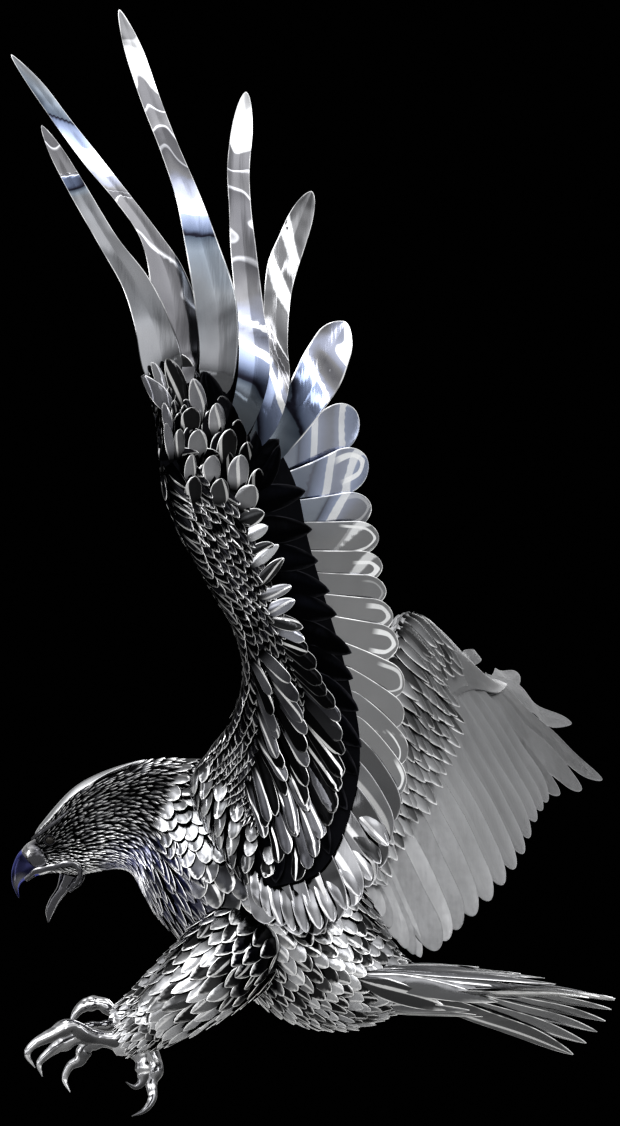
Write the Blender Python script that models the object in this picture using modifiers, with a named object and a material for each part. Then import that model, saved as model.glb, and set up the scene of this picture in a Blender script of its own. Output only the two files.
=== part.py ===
"""Stainless steel eagle striking with open talons, at its real size in metres.

The bird flies towards -X, +Z is up, and its left side faces -Y. Points are given in the bird's own
frame. The empty that carries every piece moves them so that the hanging pad on the back is the origin.
"""

import math

import bmesh
import bpy
import numpy as np

# Hanging pad on the back: middle of its flat top, and its radius.
PAD_TOP = (0.0, 0.0, 0.10)
PAD_RADIUS = 0.07
PAD_DEPTH = 0.2

# Gap left between touching pieces, and the thickness of the sheet feathers.
GAP = 0.0003
BODY_CLEARANCE = 0.006
SHEET = 0.004

# Trunk, neck and head: top and bottom of each section in (x, z), and its half width.
BODY_SECTIONS = (
    ((-0.960, -0.196), (-0.950, -0.262), 0.034),
    ((-0.920, -0.128), (-0.880, -0.292), 0.074),
    ((-0.810, 0.000), (-0.780, -0.302), 0.112),
    ((-0.700, 0.068), (-0.700, -0.290), 0.132),
    ((-0.550, 0.118), (-0.620, -0.280), 0.155),
    ((-0.400, 0.136), (-0.555, -0.305), 0.195),
    ((-0.220, 0.098), (-0.500, -0.400), 0.250),
    ((-0.050, 0.020), (-0.420, -0.505), 0.295),
    ((0.100, -0.095), (-0.300, -0.615), 0.320),
    ((0.210, -0.225), (-0.150, -0.725), 0.320),
    ((0.330, -0.365), (0.000, -0.845), 0.300),
    ((0.415, -0.520), (0.160, -0.905), 0.255),
    ((0.480, -0.630), (0.330, -0.905), 0.190),
    ((0.550, -0.690), (0.490, -0.840), 0.115),
    ((0.600, -0.712), (0.585, -0.800), 0.080),
)
BODY_ROWS = 11
BODY_SCALES_AROUND = 6
STATIONS_PER_ROW = 3
COLUMNS_PER_SCALE = 4
SCALE_RELIEF = 0.055
SCALE_BEDDING = 0.40

# Legs: centre line and radius from hip to ankle.
LEFT_LEG = (((-0.10, -0.16, -0.57), 0.195), ((-0.24, -0.24, -0.71), 0.170), ((-0.36, -0.28, -0.82), 0.135),
            ((-0.47, -0.28, -0.905), 0.098), ((-0.530, -0.285, -0.945), 0.074))
RIGHT_LEG = (((-0.10, 0.16, -0.56), 0.19), ((-0.25, 0.22, -0.66), 0.16), ((-0.39, 0.25, -0.745), 0.12),
             ((-0.50, 0.25, -0.815), 0.085), ((-0.565, 0.255, -0.852), 0.066))

# Beak: the outer and inner edge of each half in (x, z), from the face to the tip, and half widths.
UPPER_BEAK = (((-0.975, -0.192), (-0.890, -0.300), 0.045), ((-1.016, -0.232), (-0.944, -0.318), 0.040),
              ((-1.040, -0.295), (-0.992, -0.337), 0.027), ((-1.038, -0.352), (-1.012, -0.366), 0.014),
              ((-1.013, -0.408), (-1.009, -0.404), 0.003))
LOWER_BEAK = (((-0.850, -0.312), (-0.775, -0.332), 0.050), ((-0.862, -0.365), (-0.812, -0.372), 0.040),
              ((-0.890, -0.412), (-0.850, -0.420), 0.028), ((-0.905, -0.458), (-0.872, -0.462), 0.017),
              ((-0.896, -0.502), (-0.892, -0.504), 0.004))
CROWN_SPAN = (0.035, 0.30)
CROWN_HALF_ANGLE = 0.95
CROWN_THICKNESS = 0.010
CROWN_GAP = 0.004

# Feet: each toe with its talon, as points and radii, from the palm out.
LEFT_TOES = (
    (((-0.585, -0.290, -0.972), 0.034), ((-0.700, -0.340, -0.960), 0.030), ((-0.780, -0.380, -0.922), 0.034),
     ((-0.850, -0.420, -0.955), 0.028), ((-0.915, -0.440, -0.990), 0.019), ((-0.940, -0.450, -1.030), 0.013),
     ((-0.910, -0.440, -1.080), 0.002)),
    (((-0.585, -0.280, -0.978), 0.034), ((-0.720, -0.300, -0.955), 0.033), ((-0.810, -0.310, -0.985), 0.030),
     ((-0.865, -0.320, -1.020), 0.020), ((-0.902, -0.330, -1.062), 0.013), ((-0.890, -0.330, -1.112), 0.002)),
    (((-0.585, -0.260, -0.985), 0.034), ((-0.680, -0.215, -0.975), 0.029), ((-0.730, -0.200, -1.000), 0.032),
     ((-0.752, -0.190, -1.045), 0.026), ((-0.792, -0.188, -1.070), 0.018), ((-0.812, -0.190, -1.120), 0.012),
     ((-0.790, -0.200, -1.170), 0.002)),
    (((-0.570, -0.270, -0.980), 0.034), ((-0.525, -0.265, -1.020), 0.032), ((-0.505, -0.270, -1.080), 0.030),
     ((-0.508, -0.272, -1.128), 0.020), ((-0.535, -0.280, -1.150), 0.011), ((-0.570, -0.300, -1.132), 0.002)),
)
RIGHT_TOES = (
    (((-0.620, 0.255, -0.870), 0.032), ((-0.690, 0.290, -0.812), 0.030), ((-0.750, 0.320, -0.812), 0.030),
     ((-0.795, 0.340, -0.855), 0.018), ((-0.810, 0.345, -0.915), 0.002)),
    (((-0.620, 0.240, -0.878), 0.032), ((-0.680, 0.200, -0.865), 0.030), ((-0.740, 0.170, -0.885), 0.028),
     ((-0.780, 0.160, -0.920), 0.016), ((-0.790, 0.160, -0.970), 0.002)),
    (((-0.620, 0.262, -0.872), 0.032), ((-0.700, 0.262, -0.838), 0.031), ((-0.775, 0.255, -0.856), 0.028),
     ((-0.822, 0.250, -0.905), 0.016), ((-0.818, 0.245, -0.965), 0.002)),
    (((-0.605, 0.230, -0.888), 0.032), ((-0.520, 0.205, -0.975), 0.036), ((-0.475, 0.192, -1.060), 0.038),
     ((-0.490, 0.180, -1.130), 0.028), ((-0.485, 0.165, -1.190), 0.020), ((-0.515, 0.140, -1.238), 0.013),
     ((-0.565, 0.120, -1.262), 0.002)),
)

# Wings: leading edge and edge of the coverts, both from inside the shoulder out to the hand.
LEFT_LEAD = ((-0.20, -0.10, -0.05), (-0.275, -0.30, 0.07), (-0.235, -0.38, 0.155), (-0.165, -0.46, 0.25),
             (-0.12, -0.58, 0.40), (-0.14, -0.72, 0.55), (-0.235, -0.83, 0.72), (-0.345, -0.93, 0.91),
             (-0.41, -0.97, 1.09), (-0.43, -0.99, 1.28), (-0.45, -0.99, 1.42))
LEFT_EDGE = ((0.00, -0.12, -0.34), (-0.03, -0.42, -0.39), (0.19, -0.48, -0.33), (0.31, -0.465, -0.06),
             (0.33, -0.48, 0.19), (0.27, -0.525, 0.44), (0.19, -0.59, 0.69), (0.12, -0.65, 0.92),
             (0.065, -0.71, 1.15), (-0.06, -0.80, 1.36), (-0.24, -0.92, 1.53))
RIGHT_LEAD = ((0.00, 0.10, -0.10), (0.08, 0.30, -0.06), (0.19, 0.38, 0.04), (0.25, 0.42, 0.16),
              (0.32, 0.51, 0.31), (0.39, 0.63, 0.49), (0.46, 0.80, 0.69), (0.52, 0.98, 0.84),
              (0.62, 1.14, 0.86), (0.74, 1.36, 0.79), (0.86, 1.60, 0.70))
RIGHT_EDGE = ((0.12, 0.12, -0.40), (0.32, 0.375, -0.30), (0.375, 0.44, -0.26), (0.42, 0.48, -0.16),
              (0.513, 0.573, -0.02), (0.617, 0.714, 0.146), (0.688, 0.892, 0.342), (0.752, 1.096, 0.496),
              (0.84, 1.268, 0.556), (0.953, 1.508, 0.566), (1.015, 1.80, 0.634))
ARM_STATIONS = 20
ARM_HALF_THICKNESS = (0.075, 0.034)
SLOT_HALF_HEIGHT = 0.028
SLOT_START = (0.54, 0.12)
SLOT_OPENS_AT = 0.84
TINE = 0.006
COVERT_STATIONS = 3
COVERT_RELIEF = 0.010
COVERT_SCALLOP = 0.04

# Primaries: place of the root on the wing (along, across), two points on the way, tip, and widths at
# base and end. A root past 1 along the wing starts just beyond the end of the arm.
LEFT_PRIMARIES = (
    ((1.006, 0.12), (-0.510, -0.99, 1.76), (-0.670, -1.01, 2.09), (-0.880, -1.03, 2.46), 0.155, 0.090),
    ((1.006, 0.52), (-0.360, -0.98, 1.80), (-0.615, -1.02, 2.26), (-0.990, -1.07, 2.73), 0.170, 0.080),
    ((0.970, 0.62), (-0.240, -0.96, 1.84), (-0.410, -1.00, 2.40), (-0.590, -1.02, 2.915), 0.210, 0.096),
    ((0.950, 0.64), (-0.095, -0.89, 1.76), (-0.145, -0.91, 2.23), (-0.100, -0.92, 2.62), 0.175, 0.092),
    ((0.930, 0.65), (-0.010, -0.83, 1.64), (0.050, -0.81, 1.98), (0.150, -0.80, 2.27), 0.180, 0.100),
    ((0.912, 0.66), (0.070, -0.73, 1.44), (0.190, -0.69, 1.59), (0.290, -0.66, 1.755), 0.190, 0.185),
)
RIGHT_PRIMARIES = (
    ((1.006, 0.15), (0.890, 1.72, 0.76), (0.900, 1.82, 0.775), (0.905, 1.92, 0.785), 0.110, 0.110),
    ((1.006, 0.50), (1.000, 1.90, 0.70), (1.050, 2.10, 0.705), (1.090, 2.30, 0.740), 0.130, 0.090),
    ((0.970, 0.62), (1.080, 1.88, 0.60), (1.190, 2.12, 0.540), (1.330, 2.35, 0.520), 0.165, 0.095),
    ((0.945, 0.64), (1.080, 1.74, 0.50), (1.250, 1.94, 0.370), (1.455, 2.14, 0.245), 0.180, 0.100),
    ((0.915, 0.65), (1.040, 1.58, 0.43), (1.190, 1.73, 0.300), (1.350, 1.87, 0.185), 0.175, 0.140),
    ((0.880, 0.66), (0.985, 1.43, 0.39), (1.110, 1.53, 0.260), (1.235, 1.63, 0.140), 0.165, 0.150),
)

# Secondaries: tips as a curve from the hand inwards, and where along the wing their roots lie.
SECONDARY_COUNT = 12
LEFT_SECONDARY_TIPS = ((0.345, -0.60, 1.44), (0.365, -0.53, 1.25), (0.38, -0.50, 1.07), (0.42, -0.46, 0.87),
                       (0.46, -0.43, 0.67), (0.50, -0.42, 0.37), (0.495, -0.43, 0.10))
RIGHT_SECONDARY_TIPS = ((1.17, 1.46, 0.09), (1.11, 1.28, 0.00), (1.05, 1.08, -0.14), (0.97, 0.90, -0.27),
                        (0.86, 0.75, -0.40), (0.74, 0.63, -0.51), (0.66, 0.56, -0.59))
LEFT_SECONDARY_ROOTS = (0.865, 0.41)
RIGHT_SECONDARY_ROOTS = (0.83, 0.32)
LEFT_SECONDARY_WIDTH = 0.148
RIGHT_SECONDARY_WIDTH = 0.142
ROOT_ACROSS = 0.66

# Tertials: a fan of feathers fused side by side.
TERTIAL_COUNT = 7
LEFT_TERTIAL_ROOTS = (0.375, 0.10)
RIGHT_TERTIAL_ROOTS = (0.272, 0.12)
LEFT_TERTIAL_TIPS = ((0.48, -0.44, 0.00), (0.45, -0.46, -0.16), (0.38, -0.50, -0.37), (0.24, -0.52, -0.53),
                     (0.03, -0.50, -0.565))
RIGHT_TERTIAL_TIPS = ((0.59, 0.52, -0.62), (0.55, 0.49, -0.60), (0.50, 0.46, -0.55), (0.45, 0.43, -0.48),
                      (0.40, 0.41, -0.42))
TERTIAL_PLEAT = 0.008

# Tail: a low dome of feathers fanned about its middle one, which lies on top.
TAIL_COUNT = 11
TAIL_ROOT = (0.620, 0.0, -0.722)
TAIL_LENGTH = 0.70
TAIL_FALL = 0.105
TAIL_HALF_FAN = 0.62
TAIL_DROOP = 0.03
TAIL_TILT = 0.22
TAIL_WIDTH = 0.120
TAIL_STEP = 0.0072

# How steeply each feather leans over its neighbour, and how deep its crease is, as slopes.
FEATHER_LEAN = 0.16
FEATHER_KEEL = 0.06
TAIL_KEEL = 0.03
FEATHER_ROWS = (0.0, 0.19, 0.42, 0.68, 0.91, 1.0)
FEATHER_PROFILE = (0.42, 0.72, 0.95, 1.0, 0.86, 0.36)


def clear_scene():
    for item in list(bpy.data.objects):
        bpy.data.objects.remove(item, do_unlink=True)


def new_collection(name):
    made = bpy.data.collections.new(name)
    bpy.context.scene.collection.children.link(made)
    return made


def steel(name, colour, roughness):
    made = bpy.data.materials.new(name)
    made.use_nodes = True
    shader = made.node_tree.nodes["Principled BSDF"]
    shader.inputs["Base Color"].default_value = (*colour, 1.0)
    shader.inputs["Metallic"].default_value = 1.0
    shader.inputs["Roughness"].default_value = roughness
    return made


def unit(vectors):
    return vectors / np.linalg.norm(vectors, axis=-1, keepdims=True)


def along(points, places):
    """Smooth curve through the points, read at places from 0 to 1: a Catmull-Rom spline."""
    points = np.asarray(points, float)
    padded = np.vstack([2 * points[0] - points[1], points, 2 * points[-1] - points[-2]])
    spot = np.clip(np.asarray(places, float), 0.0, 1.0) * (len(points) - 1)
    first = np.minimum(spot.astype(int), len(points) - 2)
    f = (spot - first)[..., None]
    a, b, c, d = (padded[first + step] for step in range(4))
    return 0.5 * (2 * b + (c - a) * f + (2 * a - 5 * b + 4 * c - d) * f**2 + (3 * b - a - 3 * c + d) * f**3)


def mesh_object(name, points, faces, coat, home):
    mesh = bpy.data.meshes.new(name)
    mesh.from_pydata(np.asarray(points).reshape(-1, 3).tolist(), [], faces)
    mesh.materials.append(coat)
    mesh.validate()
    made = bpy.data.objects.new(name, mesh)
    home.objects.link(made)
    return made


def grid_faces(rows, columns, closed):
    """Quads of a grid of points. A closed grid joins its last column to its first."""
    last = columns if closed else columns - 1
    return [(r * columns + c, r * columns + (c + 1) % columns,
             (r + 1) * columns + (c + 1) % columns, (r + 1) * columns + c)
            for r in range(rows - 1) for c in range(last)]


def loft(name, rings, coat, home):
    """Closed solid through rings of points, with a flat face over each end."""
    rows, columns = rings.shape[:2]
    faces = grid_faces(rows, columns, True)
    faces.append(tuple(reversed(range(columns))))
    faces.append(tuple(range((rows - 1) * columns, rows * columns)))
    made = mesh_object(name, rings, faces, coat, home)
    face_outwards(made)
    return made


def face_outwards(item):
    """Turns every face over where the closed mesh has a negative volume."""
    mesh = item.data
    mesh.calc_loop_triangles()
    corners = np.array([[mesh.vertices[v].co[:] for v in t.vertices] for t in mesh.loop_triangles])
    if np.linalg.det(corners).sum() < 0:
        mesh.flip_normals()


def boolean(item, other, operation):
    made = item.modifiers.new(operation.lower() + "_" + other.name, "BOOLEAN")
    made.object = other
    made.operation = operation
    made.solver = "EXACT"
    made.use_self = operation == "UNION"


def scale_rows(stations, columns, turned=0.0):
    """Height from 0 to 1 of rows of overlapping scales, on a grid that wraps round."""
    i, j = np.meshgrid(np.arange(stations), np.arange(columns), indexing="ij")
    row = i // STATIONS_PER_ROW
    across = j / COLUMNS_PER_SCALE + 0.5 * (row % 2) + turned
    middle = 0.5 + 0.5 * np.cos(2 * math.pi * across)
    step = (i % STATIONS_PER_ROW + 1) / STATIONS_PER_ROW
    return step * (0.35 + 0.65 * middle)


def body_rings(growth):
    """Rings of the trunk, each half width and half height enlarged by growth."""
    stations = BODY_ROWS * STATIONS_PER_ROW + 1
    columns = BODY_SCALES_AROUND * COLUMNS_PER_SCALE
    places = np.linspace(0, 1, stations)
    top = along([(s[0][0], 0.0, s[0][1]) for s in BODY_SECTIONS], places)
    bottom = along([(s[1][0], 0.0, s[1][1]) for s in BODY_SECTIONS], places)
    half_width = along([(s[2], 0.0, 0.0) for s in BODY_SECTIONS], places)[:, 0]
    centre = 0.5 * (top + bottom)
    centre[0] += growth * unit(centre[0] - centre[1])
    centre[-1] += growth * unit(centre[-1] - centre[-2])
    upright = 0.5 * (top - bottom)
    tall = np.linalg.norm(upright, axis=1)
    angle = np.linspace(0, 2 * math.pi, columns, endpoint=False)
    smooth_head = np.clip((places - 0.10) / 0.10, 0.0, 1.0)[:, None]
    swell = 1.0 + SCALE_RELIEF * smooth_head * (scale_rows(stations, columns) - SCALE_BEDDING)
    up = np.cos(angle)[None, :] * swell * (tall[:, None] + growth)
    out = np.sin(angle)[None, :] * swell * (half_width[:, None] + growth)
    return (centre[:, None, :] + up[..., None] * (upright / tall[:, None])[:, None, :]
            + out[..., None] * np.array([0.0, -1.0, 0.0]))


def leg_rings(line, growth=0.0):
    """Rings round a leg's centre line. The last ring is square to it, so the foot meets it flat."""
    stations, columns = 3 * STATIONS_PER_ROW + 1, 3 * COLUMNS_PER_SCALE
    places = np.linspace(0, 1, stations)
    centre = along([p for p, _ in line], places)
    radius = along([(r, 0.0, 0.0) for _, r in line], places)[:, 0] + growth
    forward = unit(np.gradient(centre, axis=0))
    forward[-1] = unit(np.subtract(line[-1][0], line[-2][0]))
    side = unit(np.cross(forward, (0.0, 0.0, 1.0)))
    other = np.cross(side, forward)
    angle = np.linspace(0, 2 * math.pi, columns, endpoint=False)
    swell = 1.0 + 2 * SCALE_RELIEF * (scale_rows(stations, columns) - SCALE_BEDDING)
    swell[-1] = 1.0
    centre[-1] += growth * forward[-1]
    spread = radius[:, None] * swell
    return (centre[:, None, :] + (spread * np.cos(angle))[..., None] * side[:, None, :]
            + (spread * np.sin(angle))[..., None] * other[:, None, :])


def make_body(coat, home, helpers):
    body = loft("body", body_rings(0.0), coat, home)
    for name, line in (("left_leg_join", LEFT_LEG), ("right_leg_join", RIGHT_LEG)):
        boolean(body, loft(name, leg_rings(line), coat, helpers), "UNION")
    bpy.ops.mesh.primitive_cylinder_add(vertices=24, radius=PAD_RADIUS, depth=PAD_DEPTH)
    pad = bpy.context.object
    pad.name = "hanging_pad_join"
    pad.location = (PAD_TOP[0], PAD_TOP[1], PAD_TOP[2] - PAD_DEPTH / 2)
    for holder in list(pad.users_collection):
        holder.objects.unlink(pad)
    helpers.objects.link(pad)
    boolean(body, pad, "UNION")


def make_crown(coat, home):
    """Plate over the crown: a patch of the head grown until it clears the scales."""
    inner, outer = body_rings(CROWN_GAP), body_rings(CROWN_GAP + CROWN_THICKNESS)
    first, last = (round(s * (len(inner) - 1)) for s in CROWN_SPAN)
    reach = round(CROWN_HALF_ANGLE / (2 * math.pi) * inner.shape[1])
    columns = np.arange(-reach, reach + 1)
    top = outer[first:last + 1][:, columns]
    under = inner[first:last + 1][:, columns[::-1]]
    loft("crown_plate", np.concatenate([top, under], axis=1), coat, home)


def beak_rings(sections, places, sides):
    """Rings of half a beak: an oval from the outer edge to the inner edge at each place."""
    outer = along([(s[0][0], 0.0, s[0][1]) for s in sections], places)
    inner = along([(s[1][0], 0.0, s[1][1]) for s in sections], places)
    half_width = along([(s[2], 0.0, 0.0) for s in sections], places)[:, 0]
    centre, half = 0.5 * (outer + inner), 0.5 * (outer - inner)
    angle = np.linspace(0, 2 * math.pi, sides, endpoint=False)
    return (centre[:, None, :] + np.cos(angle)[None, :, None] * half[:, None, :]
            + (np.sin(angle)[None, :] * half_width[:, None])[..., None] * np.array([0.0, 1.0, 0.0]))


def make_beak(coat, home, clearance):
    for name, sections in (("upper_beak", UPPER_BEAK), ("lower_beak", LOWER_BEAK)):
        half = loft(name, beak_rings(sections, np.linspace(0, 1, 8), 8), coat, home)
        boolean(half, clearance, "DIFFERENCE")


def tube(name, line, coat, home, sides_resolution=1, steps=2):
    """Closed tapered tube through points with radii, made as a curve and turned into a mesh."""
    places = np.linspace(0, 1, steps * (len(line) - 1) + 1)
    points = along([p for p, _ in line], places)
    radii = along([(r, 0.0, 0.0) for _, r in line], places)[:, 0]
    curve = bpy.data.curves.new(name + "_line", "CURVE")
    curve.dimensions = "3D"
    curve.bevel_depth = 1.0
    curve.bevel_resolution = sides_resolution
    curve.use_fill_caps = True
    spline = curve.splines.new("POLY")
    spline.points.add(len(points) - 1)
    for point, place, radius in zip(spline.points, points, radii):
        point.co = (*place, 1.0)
        point.radius = max(radius, 0.0015)
    drawn = bpy.data.objects.new(name + "_line", curve)
    home.objects.link(drawn)
    bpy.context.view_layer.update()
    graph = bpy.context.evaluated_depsgraph_get()
    mesh = bpy.data.meshes.new_from_object(drawn.evaluated_get(graph))
    weld(mesh)
    bpy.data.objects.remove(drawn, do_unlink=True)
    mesh.materials.clear()
    mesh.materials.append(coat)
    made = bpy.data.objects.new(name, mesh)
    home.objects.link(made)
    face_outwards(made)
    return made


def weld(mesh):
    work = bmesh.new()
    work.from_mesh(mesh)
    bmesh.ops.remove_doubles(work, verts=work.verts, dist=0.00005)
    bmesh.ops.recalc_face_normals(work, faces=work.faces)
    work.to_mesh(mesh)
    work.free()


def make_foot(name, leg, toes, coat, home, helpers):
    """Bare foot: an ankle that meets the leg flat, a palm and four toes with their talons."""
    ankle, radius = np.array(leg[-1][0]), leg[-1][1]
    forward = unit(ankle - np.array(leg[-2][0]))
    palm = np.mean([toe[0][0] for toe in toes], axis=0)
    start = ankle - 0.010 * forward
    shank = ((start, radius * 0.62), (start + 0.015 * forward, radius * 0.62), (palm, radius * 0.72),
             (palm + 0.045 * forward, radius * 0.30))
    foot = tube(name, shank, coat, home, 2, 2)
    for number, toe in enumerate(toes, 1):
        boolean(foot, tube(f"{name}_toe_{number}", toe, coat, helpers), "UNION")
    boolean(foot, loft(name + "_leg_clearance", leg_rings(leg, 2 * GAP), coat, helpers), "DIFFERENCE")


class Wing:
    """Middle surface of a wing: straight across from the leading edge to the edge of the coverts."""

    def __init__(self, lead, edge, lower_side):
        self.lead = lead
        self.edge = edge
        self.lower_side = lower_side

    def normal(self, t):
        t = np.asarray(t, float)
        step = 0.02
        run = along(self.lead, t + step) + along(self.edge, t + step)
        run = run - along(self.lead, t - step) - along(self.edge, t - step)
        return self.lower_side * unit(np.cross(run, along(self.edge, t) - along(self.lead, t)))

    def place(self, t, across, offset=0.0):
        """Point at t along the wing and a fraction across it, offset towards its lower side."""
        lead, edge = along(self.lead, t), along(self.edge, t)
        across = np.asarray(across, float)[..., None]
        offset = np.asarray(offset, float)[..., None]
        beyond = np.maximum(np.asarray(t, float) - 1.0, 0.0)[..., None]
        onward = beyond * unit(along(self.lead, 1.0) - along(self.lead, 0.95))
        return lead + across * (edge - lead) + offset * self.normal(t) + onward


def slot_start(t):
    """How far across the wing the slot for the feather roots begins. It opens out at the hand."""
    f = np.clip((t - SLOT_OPENS_AT) / (1 - SLOT_OPENS_AT), 0.0, 1.0)
    return SLOT_START[0] + (SLOT_START[1] - SLOT_START[0]) * f * f * (3 - 2 * f)


def arm_section(t, station):
    """Outline of the arm at t as (across, offset): a forked aerofoil whose coverts step up in rows."""
    thick = ARM_HALF_THICKNESS[0] + (ARM_HALF_THICKNESS[1] - ARM_HALF_THICKNESS[0]) * min(1.0, 1.3 * t)
    tine = SLOT_HALF_HEIGHT + TINE
    begins = float(slot_start(t))
    phase = 2 * math.pi * station / COVERT_STATIONS
    outline = [(0.0, 0.0)]
    rows = ((0.10, 0.30), (0.34, 0.56), (0.60, 0.80), (0.84, 1.0))
    for row, (near, far) in enumerate(rows):
        far = far + COVERT_SCALLOP * math.cos(phase + math.pi * row) - (COVERT_SCALLOP if row == 3 else 0)
        swell = max(tine, thick * math.sqrt(max(0.0, 1 - (near - 0.22) ** 2 / 0.6)))
        outline.append((near, max(tine, swell - COVERT_RELIEF)))
        outline.append((far, swell + COVERT_RELIEF * 0.6 if row < 3 else tine))
    outline.append((outline[-1][0] - 0.002, SLOT_HALF_HEIGHT))
    outline.append((begins, SLOT_HALF_HEIGHT))
    other = [(across, -offset) for across, offset in reversed(outline[1:])]
    return outline + other


def make_arm(name, wing, coat, home, clearance):
    places = np.linspace(0, 1, ARM_STATIONS)
    rings = []
    for station, t in enumerate(places):
        outline = np.array(arm_section(t, station))
        rings.append(wing.place(np.full(len(outline), t), outline[:, 0], outline[:, 1]))
    arm = loft(name, np.array(rings), coat, home)
    boolean(arm, clearance, "DIFFERENCE")


def feather(name, line, side, widths, slopes, coat, home):
    """Creased sheet along a smooth midline, rounded at its end, leaning towards one edge."""
    u = np.array(FEATHER_ROWS)
    lean, keel = slopes
    middle = along(line, u)
    slope = unit(along(line, u + 0.02) - along(line, u - 0.02))
    side = unit(side - (slope @ side)[:, None] * slope)
    normal = np.cross(side, slope)
    width = widths[0] + (widths[1] - widths[0]) * np.clip((u - 0.25) / 0.4, 0, 1)
    half = 0.5 * width * np.array(FEATHER_PROFILE)
    across = np.array([-1.0, 0.0, 1.0])
    out = half[:, None] * across
    rise = lean * out - keel * np.abs(out)
    points = middle[:, None, :] + out[..., None] * side[:, None, :] + rise[..., None] * normal[:, None, :]
    made = mesh_object(name, points, grid_faces(len(u), 3, False), coat, home)
    sheet = made.modifiers.new("sheet", "SOLIDIFY")
    sheet.thickness = SHEET
    sheet.offset = 0.0
    return made


def fan_sides(roots, tips):
    """Sideways direction of each feather in a fan, from its neighbours."""
    sides = unit(np.gradient(0.5 * (np.asarray(roots) + np.asarray(tips)), axis=0))
    sides[0], sides[-1] = sides[1], sides[-2]
    return sides


def make_primaries(side_name, wing, table, lean, coat, home):
    roots = np.array([wing.place(row[0][0], row[0][1]) for row in table])
    tips = np.array([row[3] for row in table])
    sides = fan_sides(roots, tips)
    for number, (row, root, side) in enumerate(zip(table, roots, sides), 1):
        feather(f"{side_name}_primary_{number}", (root, *row[1:4]), side, row[4:], (lean, FEATHER_KEEL),
                coat, home)


def flight_lines(wing, tips, count, span):
    """Midlines of feathers that leave the slot along the wing, then bend to their tips."""
    share = np.linspace(0, 1, count)
    t = span[0] + (span[1] - span[0]) * share
    tip = along(tips, share)
    root = wing.place(t, np.full(count, ROOT_ACROSS))
    reach = np.linalg.norm(tip - root, axis=1, keepdims=True)
    control = root + 0.45 * reach * unit(wing.place(t, np.ones(count)) - root)
    u = np.linspace(0, 1, 5)[:, None, None]
    lines = (1 - u) ** 2 * root + 2 * u * (1 - u) * control + u**2 * tip
    return np.swapaxes(lines, 0, 1)


def make_secondaries(side_name, wing, tips, span, width, lean, coat, home):
    lines = flight_lines(wing, tips, SECONDARY_COUNT, span)
    sides = fan_sides(lines[:, 0], lines[:, -1])
    for number, (line, side) in enumerate(zip(lines, sides), 1):
        feather(f"{side_name}_secondary_{number}", line, side, (width, width), (lean, FEATHER_KEEL),
                coat, home)


def make_tertials(name, wing, tips, span, coat, home, clearance):
    """Fan of short feathers fused edge to edge: a pleated sheet with a scalloped rim."""
    per_feather = 3
    columns = TERTIAL_COUNT * per_feather + 1
    lines = flight_lines(wing, tips, columns, span)
    phase = np.arange(columns) / per_feather * math.pi
    ends = 1.0 - 0.12 * np.abs(np.cos(phase)) ** 3
    rows = (0.0, 0.5, 1.0)
    points = np.array([[along(line, row * end) for line, end in zip(lines, ends)] for row in rows])
    normal = wing.normal(np.linspace(*span, columns))
    lift = TERTIAL_PLEAT * np.array(rows)[:, None] * np.abs(np.sin(phase))[None, :]
    points = points + lift[..., None] * normal[None]
    made = mesh_object(name, points, grid_faces(len(rows), columns, False), coat, home)
    sheet = made.modifiers.new("sheet", "SOLIDIFY")
    sheet.thickness = SHEET
    sheet.offset = 0.0
    boolean(made, clearance, "DIFFERENCE")


def make_tail(coat, home):
    root = np.array(TAIL_ROOT)
    middle = (TAIL_COUNT - 1) // 2
    for number in range(1, TAIL_COUNT + 1):
        share = (number - 1 - middle) / middle
        angle = share * TAIL_HALF_FAN
        heading = np.array([math.cos(angle), math.sin(angle), 0.0])
        down = np.array([0.0, 0.0, -1.0])
        start = root + 0.060 * share * np.array([0.0, 1.0, -TAIL_TILT]) + 0.02 * heading
        level = 2 * abs(number - 1 - middle) + (number - 1 < middle)
        start = start + TAIL_STEP * level * down
        fall = TAIL_FALL + TAIL_DROOP * share**2 + TAIL_TILT * TAIL_LENGTH * math.sin(angle)
        tip = start + TAIL_LENGTH * heading + fall * down
        bend = 0.5 * (start + tip) - 0.02 * down
        side = np.array([-math.sin(angle), math.cos(angle), -0.1 * share - TAIL_TILT])
        feather(f"tail_feather_{number}", (start, bend, tip), side, (TAIL_WIDTH, TAIL_WIDTH),
                (0.0, TAIL_KEEL), coat, home)


def hide_helpers(helpers):
    for item in helpers.objects:
        item.hide_render = True
        item.display_type = "WIRE"


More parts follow.
